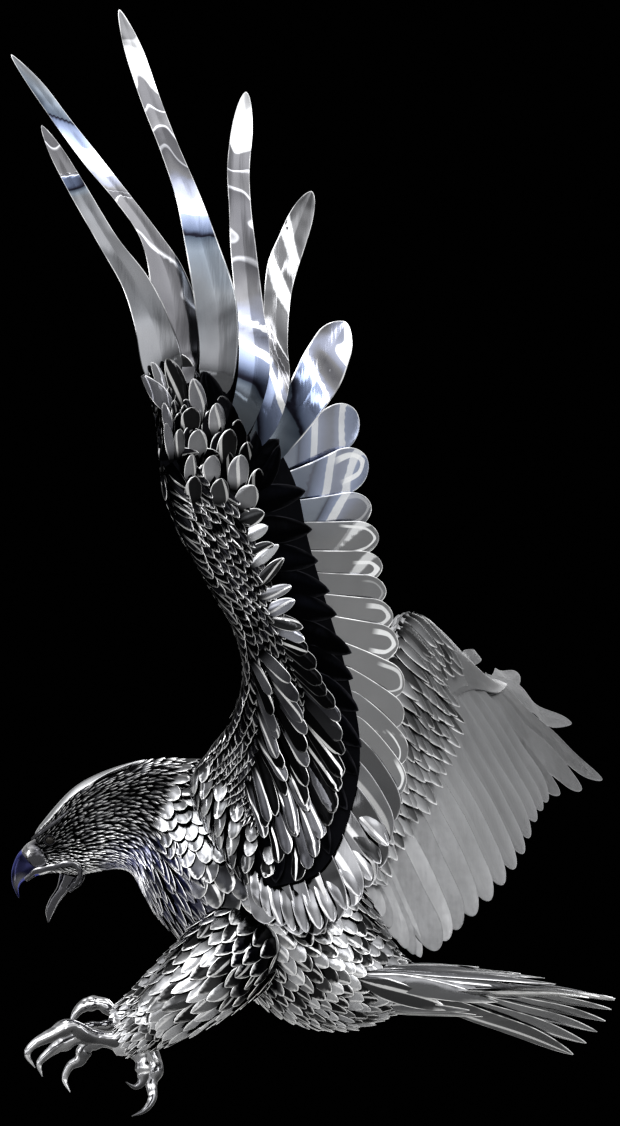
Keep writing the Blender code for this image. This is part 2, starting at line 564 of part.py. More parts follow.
def main():
    clear_scene()
    parts = new_collection("stainless_steel_eagle")
    helpers = new_collection("joins_and_cutters")
    bright = steel("mirror_steel", (0.62, 0.63, 0.65), 0.12)
    grey = steel("satin_steel", (0.50, 0.51, 0.53), 0.30)
    clad = steel("scale_steel", (0.56, 0.57, 0.60), 0.20)

    clearance = loft("body_clearance", body_rings(BODY_CLEARANCE), clad, helpers)
    make_body(clad, parts, helpers)
    make_crown(bright, parts)
    make_beak(bright, parts, clearance)
    make_foot("left_foot", LEFT_LEG, LEFT_TOES, bright, parts, helpers)
    make_foot("right_foot", RIGHT_LEG, RIGHT_TOES, bright, parts, helpers)

    left = Wing(LEFT_LEAD, LEFT_EDGE, -1.0)
    right = Wing(RIGHT_LEAD, RIGHT_EDGE, 1.0)
    make_arm("left_wing_arm", left, clad, parts, clearance)
    make_arm("right_wing_arm", right, clad, parts, clearance)
    make_primaries("left", left, LEFT_PRIMARIES, FEATHER_LEAN, bright, parts)
    make_primaries("right", right, RIGHT_PRIMARIES, -FEATHER_LEAN, grey, parts)
    make_secondaries("left", left, LEFT_SECONDARY_TIPS, LEFT_SECONDARY_ROOTS, LEFT_SECONDARY_WIDTH,
                     FEATHER_LEAN, bright, parts)
    make_secondaries("right", right, RIGHT_SECONDARY_TIPS, RIGHT_SECONDARY_ROOTS, RIGHT_SECONDARY_WIDTH,
                     -FEATHER_LEAN, grey, parts)
    make_tertials("left_tertials", left, LEFT_TERTIAL_TIPS, LEFT_TERTIAL_ROOTS, bright, parts, clearance)
    make_tertials("right_tertials", right, RIGHT_TERTIAL_TIPS, RIGHT_TERTIAL_ROOTS, grey, parts, clearance)
    make_tail(bright, parts)
    hide_helpers(helpers)

    frame = bpy.data.objects.new("bird_frame", None)
    parts.objects.link(frame)
    frame.location = tuple(-value for value in PAD_TOP)
    for item in list(parts.objects) + list(helpers.objects):
        if item is not frame:
            item.parent = frame
    bpy.context.view_layer.update()


main()
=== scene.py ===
"""Stainless steel eagle striking with open talons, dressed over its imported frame.

Points are given in the bird's own frame, as in the part's source: it flies towards -X, +Z is up and its
left side faces -Y. Every mesh is moved so that the top of the hanging pad is the origin.
"""

import math

import bpy
import numpy as np
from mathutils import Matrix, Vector


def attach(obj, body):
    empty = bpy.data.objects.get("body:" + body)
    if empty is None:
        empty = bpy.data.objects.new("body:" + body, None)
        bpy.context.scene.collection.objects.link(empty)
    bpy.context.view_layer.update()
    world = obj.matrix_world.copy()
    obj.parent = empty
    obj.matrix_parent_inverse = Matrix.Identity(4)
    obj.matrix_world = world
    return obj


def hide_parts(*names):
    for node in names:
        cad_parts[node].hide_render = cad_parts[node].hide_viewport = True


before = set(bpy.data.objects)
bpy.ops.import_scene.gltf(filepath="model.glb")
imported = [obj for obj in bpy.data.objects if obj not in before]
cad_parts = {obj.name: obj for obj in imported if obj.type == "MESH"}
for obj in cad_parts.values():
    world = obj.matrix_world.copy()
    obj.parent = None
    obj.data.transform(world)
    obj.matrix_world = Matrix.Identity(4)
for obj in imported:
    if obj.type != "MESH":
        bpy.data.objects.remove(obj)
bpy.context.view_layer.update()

PAD_TOP = np.array((0.0, 0.0, 0.10))
PAD_RADIUS = 0.07
PAD_DEPTH = 0.19
LEFT = np.array((0.0, -1.0, 0.0))
UP = np.array((0.0, 0.0, 1.0))
DOWN = -UP

# Sheet of the long feathers and of the small plates, how deep the coverts' surface lies under the arm's
# own, and the angles in degrees past which the edges of plates, and of rounded castings, stay sharp.
SHEET = 0.004
PLATE = 0.003
SUNK = 0.004
CRISP = 38.0
SOFT_CRISP = 60.0

# Plates: how their rows crowd towards the tip, the share of the length over which the root swells, and the
# least half width of a tip. Marks are the numbers on their points that the materials read: nearness of the
# cut edge, where a highlight is painted, how far the plate tucks under the next, where shade is painted,
# the plate's own random number, the places along and across it, and the place in the cycle of painted
# reflections that it shows.
ROWS_CROWD_TIP = 1.55
ROOT_SWELLS = 0.35
BLUNT_TIP = 0.035
MARKS = ("rim", "tuck", "tone", "run", "side", "bands")

# Camera: straight at the bird's left side from low down, with the photograph's field of view.
AIM = (0.14, 0.0, 0.83)
DISTANCE = 16.0
LOOK_UP = math.radians(8.0)
IMAGE_HEIGHT = 1126
FOCAL_PIXELS = 4000.0
SENSOR = 36.0
FLOOR_HEIGHT = -2.0
FLOOR_REACH = 60.0

# Trunk, neck and head: top and bottom of each section in (x, z), its half width, and the share of the way
# along at which the neck and the chest end.
BODY_SECTIONS = (
    ((-0.96, -0.196), (-0.95, -0.262), 0.034),
    ((-0.92, -0.128), (-0.88, -0.292), 0.074),
    ((-0.81, 0.0), (-0.78, -0.302), 0.112),
    ((-0.7, 0.068), (-0.7, -0.29), 0.132),
    ((-0.55, 0.118), (-0.62, -0.28), 0.155),
    ((-0.4, 0.136), (-0.555, -0.305), 0.195),
    ((-0.22, 0.098), (-0.5, -0.4), 0.25),
    ((-0.05, 0.02), (-0.42, -0.505), 0.295),
    ((0.1, -0.095), (-0.3, -0.615), 0.32),
    ((0.21, -0.225), (-0.15, -0.725), 0.32),
    ((0.33, -0.365), (0.0, -0.845), 0.3),
    ((0.415, -0.52), (0.16, -0.905), 0.255),
    ((0.48, -0.63), (0.33, -0.905), 0.19),
    ((0.55, -0.69), (0.49, -0.84), 0.115),
    ((0.6, -0.712), (0.585, -0.8), 0.08),
)
NECK_ENDS = 0.365
CHEST_ENDS = 0.66

# Legs: centre line and radius from hip to ankle.
LEFT_LEG = (((-0.1, -0.16, -0.57), 0.195), ((-0.24, -0.24, -0.71), 0.17), ((-0.36, -0.28, -0.82), 0.135),
            ((-0.47, -0.28, -0.905), 0.098), ((-0.53, -0.285, -0.945), 0.074))
RIGHT_LEG = (((-0.1, 0.16, -0.56), 0.19), ((-0.25, 0.22, -0.66), 0.16), ((-0.39, 0.25, -0.745), 0.12),
             ((-0.5, 0.25, -0.815), 0.085), ((-0.565, 0.255, -0.852), 0.066))

# Crown plate: from and to along the trunk, and how far down each side in radians.
CROWN_SPAN = (0.035, 0.3)
CROWN_SEEN = 0.66

# Beak: the outer and inner edge of each half in (x, z), from the face to the tip, and half widths. The
# trough and the hook are the right half of its sections, from the ridge to the mouth.
UPPER_BEAK = (((-0.975, -0.192), (-0.89, -0.3), 0.045), ((-1.016, -0.232), (-0.944, -0.318), 0.04),
              ((-1.04, -0.295), (-0.992, -0.337), 0.027), ((-1.038, -0.352), (-1.012, -0.366), 0.014),
              ((-1.013, -0.408), (-1.009, -0.404), 0.003))
LOWER_BEAK = (((-0.85, -0.312), (-0.775, -0.332), 0.05), ((-0.862, -0.365), (-0.812, -0.372), 0.04),
              ((-0.89, -0.412), (-0.85, -0.42), 0.028), ((-0.905, -0.458), (-0.872, -0.462), 0.017),
              ((-0.896, -0.502), (-0.892, -0.504), 0.004))
TROUGH = ((0.0, 1.0), (0.45, 0.9), (0.82, 0.55), (1.0, 0.0), (0.97, -0.6), (0.88, -1.0), (0.76, -0.85),
          (0.62, -0.25), (0.35, 0.15), (0.0, 0.28))
HOOK = ((0.0, 1.0), (0.3, 0.86), (0.66, 0.42), (0.96, -0.2), (1.0, -0.7), (0.9, -1.0), (0.74, -0.9),
        (0.5, -0.55), (0.25, -0.4), (0.0, -0.36))
CERE = (((-0.935, -0.168), (-0.868, -0.296), 0.062), ((-0.962, -0.18), (-0.89, -0.304), 0.066),
        ((-0.985, -0.196), (-0.905, -0.311), 0.06), ((-1.001, -0.216), (-0.924, -0.315), 0.05),
        ((-1.003, -0.228), (-0.934, -0.314), 0.04))
# Mouth edge on each side, from the hook back round the hinge of the jaw: (x, y, z) and radius.
GAPE = (((-0.985, 0.026, -0.335), 0.01), ((-0.945, 0.044, -0.306), 0.016), ((-0.895, 0.062, -0.294), 0.018),
        ((-0.845, 0.078, -0.283), 0.018), ((-0.8, 0.088, -0.276), 0.017), ((-0.768, 0.086, -0.296), 0.015),
        ((-0.768, 0.076, -0.33), 0.014), ((-0.79, 0.062, -0.356), 0.013), ((-0.815, 0.05, -0.378), 0.009))
BROW = (((-0.958, 0.05, -0.178), 0.005), ((-0.93, 0.076, -0.16), 0.009), ((-0.895, 0.096, -0.138), 0.01),
        ((-0.85, 0.11, -0.106), 0.007), ((-0.81, 0.114, -0.074), 0.003))
EYE_SPOT = (-0.884, 0.093, -0.186)
EYE_RADII = np.array((0.019, 0.013, 0.017))
LID_RADIUS = 0.021

# Feet: where on a toe the talon starts, how many joints a toe of that length would have, the least radius
# of any tube, and each toe with its talon, as points and radii, from the palm out.
TALON_STARTS = 0.50
JOINTS = 5.2
THINNEST = 0.0012
LEFT_TOES = (
    (((-0.585, -0.29, -0.972), 0.034), ((-0.7, -0.34, -0.96), 0.03), ((-0.78, -0.38, -0.922), 0.034),
     ((-0.85, -0.42, -0.955), 0.028), ((-0.915, -0.44, -0.99), 0.019), ((-0.94, -0.45, -1.03), 0.013),
     ((-0.91, -0.44, -1.08), 0.002)),
    (((-0.585, -0.28, -0.978), 0.034), ((-0.72, -0.3, -0.955), 0.033), ((-0.81, -0.31, -0.985), 0.03),
     ((-0.865, -0.32, -1.02), 0.02), ((-0.902, -0.33, -1.062), 0.013), ((-0.89, -0.33, -1.112), 0.002)),
    (((-0.585, -0.26, -0.985), 0.034), ((-0.68, -0.215, -0.975), 0.029), ((-0.73, -0.2, -1.0), 0.032),
     ((-0.752, -0.19, -1.045), 0.026), ((-0.792, -0.188, -1.07), 0.018), ((-0.812, -0.19, -1.12), 0.012),
     ((-0.79, -0.2, -1.17), 0.002)),
    (((-0.57, -0.27, -0.98), 0.034), ((-0.525, -0.265, -1.02), 0.032), ((-0.505, -0.27, -1.08), 0.03),
     ((-0.508, -0.272, -1.128), 0.02), ((-0.535, -0.28, -1.15), 0.011), ((-0.57, -0.3, -1.132), 0.002)),
)
RIGHT_TOES = (
    (((-0.62, 0.255, -0.876), 0.027), ((-0.69, 0.29, -0.812), 0.025), ((-0.757, 0.32, -0.812), 0.025),
     ((-0.806, 0.34, -0.855), 0.016), ((-0.814, 0.345, -0.912), 0.002)),
    (((-0.62, 0.24, -0.9), 0.027), ((-0.685, 0.2, -0.905), 0.022), ((-0.75, 0.17, -0.912), 0.02),
     ((-0.79, 0.16, -0.936), 0.012), ((-0.796, 0.16, -0.972), 0.002)),
    (((-0.62, 0.262, -0.88), 0.027), ((-0.69, 0.262, -0.824), 0.024), ((-0.765, 0.255, -0.828), 0.023),
     ((-0.806, 0.25, -0.872), 0.014), ((-0.806, 0.245, -0.925), 0.002)),
    (((-0.605, 0.23, -0.888), 0.032), ((-0.52, 0.205, -0.975), 0.034), ((-0.475, 0.192, -1.06), 0.035),
     ((-0.49, 0.18, -1.13), 0.026), ((-0.485, 0.165, -1.19), 0.019), ((-0.515, 0.14, -1.238), 0.012),
     ((-0.565, 0.12, -1.262), 0.002)),
)

# Wings: leading edge and edge of the coverts, both from inside the shoulder out to the hand.
LEFT_LEAD = ((-0.2, -0.1, -0.05), (-0.275, -0.3, 0.07), (-0.235, -0.38, 0.155), (-0.165, -0.46, 0.25),
             (-0.12, -0.58, 0.4), (-0.14, -0.72, 0.55), (-0.235, -0.83, 0.72), (-0.345, -0.93, 0.91),
             (-0.41, -0.97, 1.09), (-0.43, -0.99, 1.28), (-0.45, -0.99, 1.42))
LEFT_EDGE = ((0.0, -0.12, -0.34), (-0.03, -0.42, -0.39), (0.19, -0.48, -0.33), (0.31, -0.465, -0.06),
             (0.33, -0.48, 0.19), (0.27, -0.525, 0.44), (0.19, -0.59, 0.69), (0.12, -0.65, 0.92),
             (0.065, -0.71, 1.15), (-0.06, -0.8, 1.36), (-0.24, -0.92, 1.53))
RIGHT_LEAD = ((0.0, 0.1, -0.1), (0.08, 0.3, -0.06), (0.19, 0.38, 0.04), (0.25, 0.42, 0.16),
              (0.32, 0.51, 0.31), (0.39, 0.63, 0.49), (0.46, 0.8, 0.69), (0.52, 0.98, 0.84),
              (0.62, 1.14, 0.84), (0.74, 1.36, 0.75), (0.86, 1.6, 0.67))
RIGHT_EDGE = ((0.12, 0.12, -0.4), (0.32, 0.375, -0.3), (0.375, 0.44, -0.26), (0.42, 0.48, -0.16),
              (0.513, 0.573, -0.02), (0.617, 0.714, 0.146), (0.688, 0.892, 0.342), (0.752, 1.096, 0.496),
              (0.84, 1.268, 0.556), (0.953, 1.508, 0.566), (1.015, 1.8, 0.634))
# Arm: half thickness at the body and the hand, the slot for the feather roots and where it deepens, the
# wall beside it, where the wrist lies, and the scales' rows round the leading edge.
ARM_HALF_THICKNESS = (0.075, 0.034)
SLOT_HALF_HEIGHT = 0.028
SLOT_START = (0.54, 0.12)
SLOT_OPENS_AT = 0.84
TINE = 0.006
WRIST = 0.84
NOSE_ROWS = (-0.24, -0.12, 0.0, 0.12)

# Primaries: place of the root on the wing (along, across), then points on the way to the tip as (x, y, z,
# width).
LEFT_PRIMARIES = (
    ((1.0, 0.24),
     ((-0.414, -1.01, 1.54, 0.16), (-0.455, -1.016, 1.7, 0.138), (-0.52, -1.018, 1.86, 0.108),
      (-0.625, -1.015, 2.02, 0.078), (-0.756, -1.02, 2.242, 0.07), (-0.88, -1.03, 2.465, 0.046))),
    ((1.0, 0.5),
     ((-0.369, -0.925, 1.572, 0.165), (-0.375, -0.925, 1.742, 0.19), (-0.405, -0.935, 1.909, 0.14),
      (-0.476, -0.958, 2.063, 0.074), (-0.576, -0.985, 2.2, 0.062), (-0.685, -1.01, 2.331, 0.069),
      (-0.79, -1.03, 2.464, 0.063), (-0.891, -1.048, 2.601, 0.056), (-0.996, -1.06, 2.731, 0.04))),
    ((0.955, 0.74),
     ((-0.214, -0.94, 1.5, 0.13), (-0.206, -0.95, 1.65, 0.152), (-0.222, -0.962, 1.82, 0.16),
      (-0.276, -0.975, 2.03, 0.124), (-0.327, -0.99, 2.205, 0.093), (-0.394, -0.998, 2.384, 0.075),
      (-0.463, -1.005, 2.562, 0.076), (-0.526, -1.012, 2.743, 0.074), (-0.589, -1.02, 2.918, 0.056))),
    ((0.865, 0.66),
     ((-0.108, -0.9, 1.385, 0.104), (-0.078, -0.905, 1.503, 0.12), (-0.071, -0.908, 1.634, 0.122),
      (-0.088, -0.908, 1.78, 0.11), (-0.115, -0.912, 2.018, 0.1), (-0.127, -0.915, 2.17, 0.087),
      (-0.133, -0.917, 2.324, 0.088), (-0.119, -0.919, 2.477, 0.086), (-0.105, -0.92, 2.623, 0.08))),
    ((0.845, 0.7),
     ((-0.039, -0.855, 1.334, 0.094), (0.0, -0.858, 1.44, 0.105), (0.018, -0.855, 1.546, 0.1),
      (0.014, -0.848, 1.667, 0.1), (0.014, -0.836, 1.82, 0.116), (0.03, -0.818, 1.947, 0.124),
      (0.068, -0.808, 2.056, 0.113), (0.109, -0.804, 2.165, 0.1), (0.148, -0.8, 2.263, 0.092))),
    ((0.825, 0.7),
     ((-0.035, -0.815, 1.24, 0.12), (0.042, -0.808, 1.338, 0.152), (0.12, -0.79, 1.452, 0.168),
      (0.185, -0.762, 1.57, 0.19), (0.236, -0.732, 1.68, 0.165), (0.28, -0.705, 1.768, 0.122))),
)
# What each primary and secondary shows as painted reflection: how far the bands slant, then (share of the
# length, place in the cycle of painted reflections).
PRIMARY_BANDS = (
    (0.01, (0.0, 0.9), (0.72, 0.9), (0.73, 0.8), (0.76, 0.705), (0.765, 0.695), (0.8, 0.685), (0.81, 0.345),
     (0.84, 0.335), (0.86, 0.33), (1.0, 0.24)),
    (0.03, (0.0, 0.25), (0.345, 0.26), (0.52, 0.33), (0.54, 0.345), (0.56, 0.44), (0.6, 0.48),
     (0.62, 0.501), (0.724, 0.56), (0.735, 0.565), (0.785, 0.655), (0.79, 0.69), (0.8, 0.7), (0.82, 0.703),
     (1.0, 0.82)),
    (0.015, (0.0, 0.93), (0.29, 0.8), (0.4, 0.705), (0.413, 0.69), (0.42, 0.66), (0.463, 0.563),
     (0.466, 0.555), (0.52, 0.51), (0.545, 0.5), (0.56, 0.45), (0.79, 0.208), (0.795, 0.2), (0.95, 0.13),
     (0.96, 0.12), (1.0, 0.05)),
    (0.02, (0.0, 0.8), (0.15, 0.72), (0.17, 0.69), (0.2, 0.66), (0.255, 0.57), (0.265, 0.555),
     (0.285, 0.51), (0.3, 0.49), (0.325, 0.46), (0.335, 0.51), (0.355, 0.55), (0.365, 0.49), (0.4, 0.45),
     (0.6, 0.37), (0.7, 0.34), (0.71, 0.333), (0.78, 0.26), (0.895, 0.21), (0.9, 0.205), (0.985, 0.13),
     (1.0, 0.12)),
    (0.07, (0.0, 0.8), (0.1, 0.7), (0.24, 0.62), (0.28, 0.56), (0.32, 0.51), (0.35, 0.44), (0.38, 0.36),
     (0.42, 0.35), (0.46, 0.06), (0.57, 0.06), (0.6, 0.14), (0.66, 0.19), (0.7, 0.06), (0.73, 0.05),
     (0.76, 0.14), (0.8, 0.19), (0.84, 0.06), (1.0, 0.04)),
    (0.09, (0.0, 0.85), (0.1, 0.8), (0.3, 0.72), (0.4, 0.702), (0.45, 0.66), (0.56, 0.6), (0.6, 0.565),
     (0.61, 0.555), (0.65, 0.51), (0.66, 0.47), (0.74, 0.42), (0.8, 0.45), (0.86, 0.49), (0.92, 0.52),
     (1.0, 0.55)),
)
SECONDARY_BANDS = (
    (0.1, (0.0, 0.8), (0.4, 0.74), (0.5, 0.62), (0.56, 0.56), (0.62, 0.51), (0.66, 0.47), (0.76, 0.45),
     (0.8, 0.51), (0.86, 0.56), (0.88, 0.6), (1.0, 0.64)),
    (0.12, (0.0, 0.8), (0.45, 0.72), (0.55, 0.6), (0.58, 0.555), (0.66, 0.5), (0.72, 0.44), (0.8, 0.46),
     (0.84, 0.52), (0.92, 0.56), (1.0, 0.62)),
    (0.1, (0.0, 0.8), (0.5, 0.74), (0.6, 0.58), (0.63, 0.55), (0.72, 0.505), (0.76, 0.47), (0.9, 0.44),
     (1.0, 0.42)),
    (0.16, (0.0, 0.92), (0.55, 0.95), (0.62, 1.13), (0.74, 1.19), (0.8, 1.08), (1.0, 1.05)),
    (0.12, (0.0, 0.95), (0.7, 1.03), (0.76, 1.14), (0.82, 1.15), (0.88, 1.05), (1.0, 1.02)),
    (0.05, (0.0, 0.95), (1.0, 1.03)),
    (0.15, (0.0, 0.95), (0.62, 1.03), (0.68, 1.14), (0.7, 1.14), (0.76, 1.05), (1.0, 1.02)),
    (0.05, (0.0, 0.95), (1.0, 1.03)),
    (-0.15, (0.0, 0.95), (0.67, 1.03), (0.73, 1.14), (0.78, 1.15), (0.84, 1.05), (1.0, 1.02)),
    (0.1, (0.0, 0.95), (0.62, 0.92), (0.66, 0.7), (0.7, 0.64), (0.8, 0.6), (0.84, 0.51), (0.88, 0.46),
     (1.0, 0.42)),
    (0.2, (0.0, 0.95), (0.56, 1.03), (0.62, 1.14), (0.64, 1.14), (0.7, 1.05), (1.0, 1.02)),
    (0.05, (0.0, 0.9), (0.6, 0.8), (1.0, 0.72)),
)
RIGHT_PRIMARIES = (
    ((1.0, 0.15), ((0.845, 1.72, 0.745, 0.08), (0.875, 1.82, 0.768, 0.085), (0.9, 1.92, 0.783, 0.07))),
    ((1.0, 0.5), ((1.0, 1.9, 0.68, 0.11), (1.05, 2.1, 0.7, 0.11), (1.09, 2.3, 0.74, 0.085))),
    ((0.97, 0.62), ((1.08, 1.88, 0.6, 0.165), (1.19, 2.12, 0.54, 0.12), (1.33, 2.35, 0.52, 0.085))),
    ((0.945, 0.64), ((1.08, 1.74, 0.5, 0.19), (1.25, 1.94, 0.37, 0.165), (1.455, 2.14, 0.245, 0.095))),
    ((0.915, 0.65), ((1.04, 1.58, 0.43, 0.19), (1.19, 1.73, 0.3, 0.185), (1.35, 1.87, 0.185, 0.14))),
    ((0.88, 0.66), ((0.985, 1.43, 0.39, 0.165), (1.11, 1.53, 0.26, 0.155), (1.235, 1.63, 0.14, 0.14))),
)

# Secondaries: tips as a curve from the hand inwards, where along the wing their roots lie, their widths,
# and how far across it all roots lie.
SECONDARY_COUNT = 12
LEFT_SECONDARY_TIPS = ((0.321, -0.64, 1.428), (0.36, -0.6, 1.251), (0.376, -0.56, 1.07),
                       (0.407, -0.54, 0.952), (0.419, -0.52, 0.841), (0.434, -0.5, 0.746),
                       (0.461, -0.49, 0.646), (0.48, -0.48, 0.538), (0.5, -0.46, 0.369),
                       (0.492, -0.44, 0.239), (0.499, -0.43, 0.089), (0.487, -0.43, -0.031))
RIGHT_SECONDARY_TIPS = ((1.17, 1.46, 0.09), (1.11, 1.28, 0.0), (1.05, 1.08, -0.14), (0.97, 0.9, -0.27),
                        (0.86, 0.75, -0.4), (0.74, 0.63, -0.51), (0.66, 0.56, -0.59))
LEFT_SECONDARY_ROOTS = (0.8, 0.757, 0.728, 0.7, 0.655, 0.62, 0.585, 0.55, 0.515, 0.48, 0.445, 0.41)
RIGHT_SECONDARY_ROOTS = (0.83, 0.32)
LEFT_SECONDARY_WIDTHS = (0.188, 0.18, 0.15, 0.138, 0.132, 0.132, 0.14, 0.15, 0.15, 0.14, 0.14, 0.13)
RIGHT_SECONDARY_WIDTHS = (0.142, 0.142)
ROOT_ACROSS = 0.66

# Tertials: the short feathers next to the body.
LEFT_TERTIAL_COUNT = 10
RIGHT_TERTIAL_COUNT = 7
LEFT_TERTIAL_ROOTS = (0.375, 0.34, 0.305, 0.27, 0.24, 0.21, 0.18, 0.155, 0.13, 0.11)
RIGHT_TERTIAL_ROOTS = (0.272, 0.12)
LEFT_TERTIAL_TIPS = ((0.46, -0.44, -0.14), (0.429, -0.45, -0.229), (0.409, -0.46, -0.318),
                     (0.366, -0.48, -0.392), (0.308, -0.5, -0.466), (0.239, -0.51, -0.528),
                     (0.167, -0.5, -0.577), (0.098, -0.49, -0.576), (0.037, -0.47, -0.541),
                     (-0.021, -0.45, -0.532))
RIGHT_TERTIAL_TIPS = ((0.59, 0.52, -0.62), (0.55, 0.49, -0.6), (0.5, 0.46, -0.55), (0.45, 0.43, -0.48),
                      (0.4, 0.41, -0.42))

# Tail: a low dome of feathers fanned about its middle one, which lies on top.
TAIL_COUNT = 11
TAIL_ROOT = (0.62, 0.0, -0.722)
TAIL_LENGTH = 0.70
TAIL_FALL = 0.085
TAIL_HALF_FAN = 0.62
TAIL_DROOP = 0.03
TAIL_TILT = 0.22
TAIL_WIDTH = 0.120
TAIL_STEP = 0.0072
TAIL_BOW = 0.006

# How far the wings' long feathers tip over their neighbours.
FEATHER_LEAN = 0.16

# Coverts of the near wing that are placed one by one, as (along, across) of their roots and tips on the
# arm's face: the bright row, three rows that hang from the elbow, and with their widths the leaves of the
# hand and the dark leaves that lie on the roots of the long feathers.
BRIGHT_ROOTS = ((0.726, 0.455), (0.68, 0.443), (0.638, 0.385), (0.591, 0.332), (0.561, 0.333),
                (0.539, 0.359))
BRIGHT_TIPS = ((0.756, 0.65), (0.708, 0.648), (0.678, 0.699), (0.631, 0.689), (0.58, 0.644), (0.52, 0.603))
OUTER_ROOTS = ((0.534, 0.384), (0.512, 0.393), (0.489, 0.43), (0.465, 0.484), (0.43, 0.503), (0.394, 0.52),
               (0.358, 0.533), (0.323, 0.562), (0.286, 0.588), (0.254, 0.619), (0.228, 0.633))
OUTER_TIPS = ((0.503, 0.614), (0.477, 0.668), (0.447, 0.729), (0.412, 0.795), (0.371, 0.829), (0.33, 0.866),
              (0.287, 0.891), (0.255, 0.893), (0.227, 0.891), (0.189, 0.938), (0.161, 1.003))
MIDDLE_ROOTS = ((0.49, 0.16), (0.453, 0.214), (0.414, 0.282), (0.376, 0.317), (0.339, 0.353),
                (0.295, 0.387), (0.251, 0.426), (0.221, 0.456))
MIDDLE_TIPS = ((0.451, 0.388), (0.399, 0.494), (0.346, 0.56), (0.297, 0.628), (0.259, 0.696),
               (0.228, 0.737), (0.195, 0.78), (0.163, 0.85))
INNER_ROOTS = ((0.461, 0.076), (0.419, 0.115), (0.376, 0.153), (0.338, 0.211), (0.294, 0.255),
               (0.254, 0.29), (0.222, 0.316))
INNER_TIPS = ((0.413, 0.232), (0.36, 0.323), (0.311, 0.397), (0.265, 0.493), (0.228, 0.582), (0.198, 0.59),
              (0.162, 0.665))
HAND_LEAVES = (((0.941, 0.146), (1.061, 0.0), 0.067), ((0.983, 0.105), (1.08, 0.145), 0.04),
               ((0.942, 0.267), (1.06, 0.459), 0.075), ((0.91, 0.365), (1.002, 0.612), 0.071),
               ((0.879, 0.481), (0.944, 0.639), 0.075), ((0.888, 0.229), (0.946, 0.35), 0.079),
               ((0.846, 0.107), (0.901, 0.136), 0.047), ((0.842, 0.269), (0.896, 0.31), 0.079),
               ((0.829, 0.461), (0.89, 0.61), 0.087), ((0.798, 0.162), (0.85, 0.201), 0.051),
               ((0.793, 0.32), (0.846, 0.375), 0.079), ((0.781, 0.492), (0.843, 0.609), 0.087),
               ((0.754, 0.134), (0.81, 0.189), 0.071), ((0.751, 0.33), (0.804, 0.388), 0.079),
               ((0.745, 0.495), (0.79, 0.62), 0.095), ((0.884, 0.064), (0.971, 0.083), 0.036),
               ((0.842, 0.061), (0.918, 0.057), 0.036))
DARK_LEAVES = (((0.898, 0.512), (1.006, 0.897), 0.08), ((0.852, 0.549), (0.954, 1.022), 0.08),
               ((0.811, 0.597), (0.905, 1.028), 0.08), ((0.775, 0.633), (0.858, 0.995), 0.08))

# Long plates over the root of the tail: starts on the flank, tips along the tail, widths, and how far each
# has turned from facing sideways to facing up.
TAIL_PLATE_STARTS = ((0.315, -0.25, -0.731), (0.326, -0.25, -0.72), (0.338, -0.245, -0.712),
                     (0.35, -0.24, -0.704), (0.362, -0.23, -0.696), (0.381, -0.21, -0.687),
                     (0.413, -0.19, -0.683), (0.46, -0.16, -0.678))
TAIL_PLATE_TIPS = ((0.682, -0.17, -0.852), (0.874, -0.15, -0.821), (0.969, -0.12, -0.808),
                   (1.061, -0.08, -0.78), (1.107, -0.04, -0.747), (1.066, 0.0, -0.722),
                   (0.97, 0.03, -0.705), (0.805, 0.05, -0.681))
TAIL_PLATE_WIDTHS = (0.085, 0.075, 0.045, 0.045, 0.045, 0.045, 0.045, 0.045)
TAIL_PLATE_TURNS = (-0.25, -0.05, 0.25, 0.55, 0.85, 1.05, 1.2, 1.35)

# Plates over the roots of the tertials: their upper ends and tips.
FLANK_COUNT = 12
FLANK_WIDTH = 0.072
FLANK_TOPS = ((0.31, -0.43, -0.054), (0.267, -0.42, -0.154), (0.206, -0.42, -0.242), (0.14, -0.42, -0.293),
              (0.071, -0.42, -0.316), (0.001, -0.42, -0.308), (-0.06, -0.42, -0.285))
FLANK_TIPS = ((0.44, -0.48, -0.235), (0.381, -0.5, -0.359), (0.297, -0.52, -0.467), (0.205, -0.53, -0.544),
              (0.109, -0.52, -0.57), (0.025, -0.5, -0.535), (-0.048, -0.47, -0.472))


def unit(vectors):
    """Vectors scaled to length one."""
    return vectors / np.maximum(np.linalg.norm(vectors, axis=-1, keepdims=True), 1e-12)


def smooth(x):
    """Rises from 0 to 1 as x does, level at both ends: 3x^2 - 2x^3."""
    x = np.clip(x, 0.0, 1.0)
    return x * x * (3 - 2 * x)


def along(points, places):
    """Catmull-Rom spline through the points, read at places from 0 to 1, and straight on beyond them."""
    points = np.asarray(points, float)
    padded = np.vstack([2 * points[0] - points[1], points, 2 * points[-1] - points[-2]])
    wanted = np.asarray(places, float) * (len(points) - 1)
    spot = np.clip(wanted, 0.0, len(points) - 1)
    first = np.minimum(spot.astype(int), len(points) - 2)
    f = (spot - first)[..., None]
    a, b, c, d = (padded[first + step] for step in range(4))
    inside = 0.5 * (2 * b + (c - a) * f + (2 * a - 5 * b + 4 * c - d) * f**2 + (3 * b - a - 3 * c + d) * f**3)
    slope = np.where(wanted[..., None] > spot[..., None], points[-1] - points[-2], points[1] - points[0])
    return inside + (wanted - spot)[..., None] * slope


def level(values, places):
    """The same kind of spline through plain numbers."""
    return along(np.asarray(values, float)[:, None], places)[..., 0]


def even(points, places):
    """The same spline, read at shares of its length."""
    fine = np.linspace(0, 1, 300)
    spots = along(points, fine)
    length = np.concatenate([[0], np.cumsum(np.linalg.norm(np.diff(spots[:, :3], axis=0), axis=1))])
    return along(points, np.interp(np.asarray(places) * length[-1], length, fine))


def table(*pairs):
    """A function that runs straight between the given (place, value) pairs, and level beyond them."""
    keys, values = zip(*pairs)
    return lambda place: np.interp(place, keys, values)


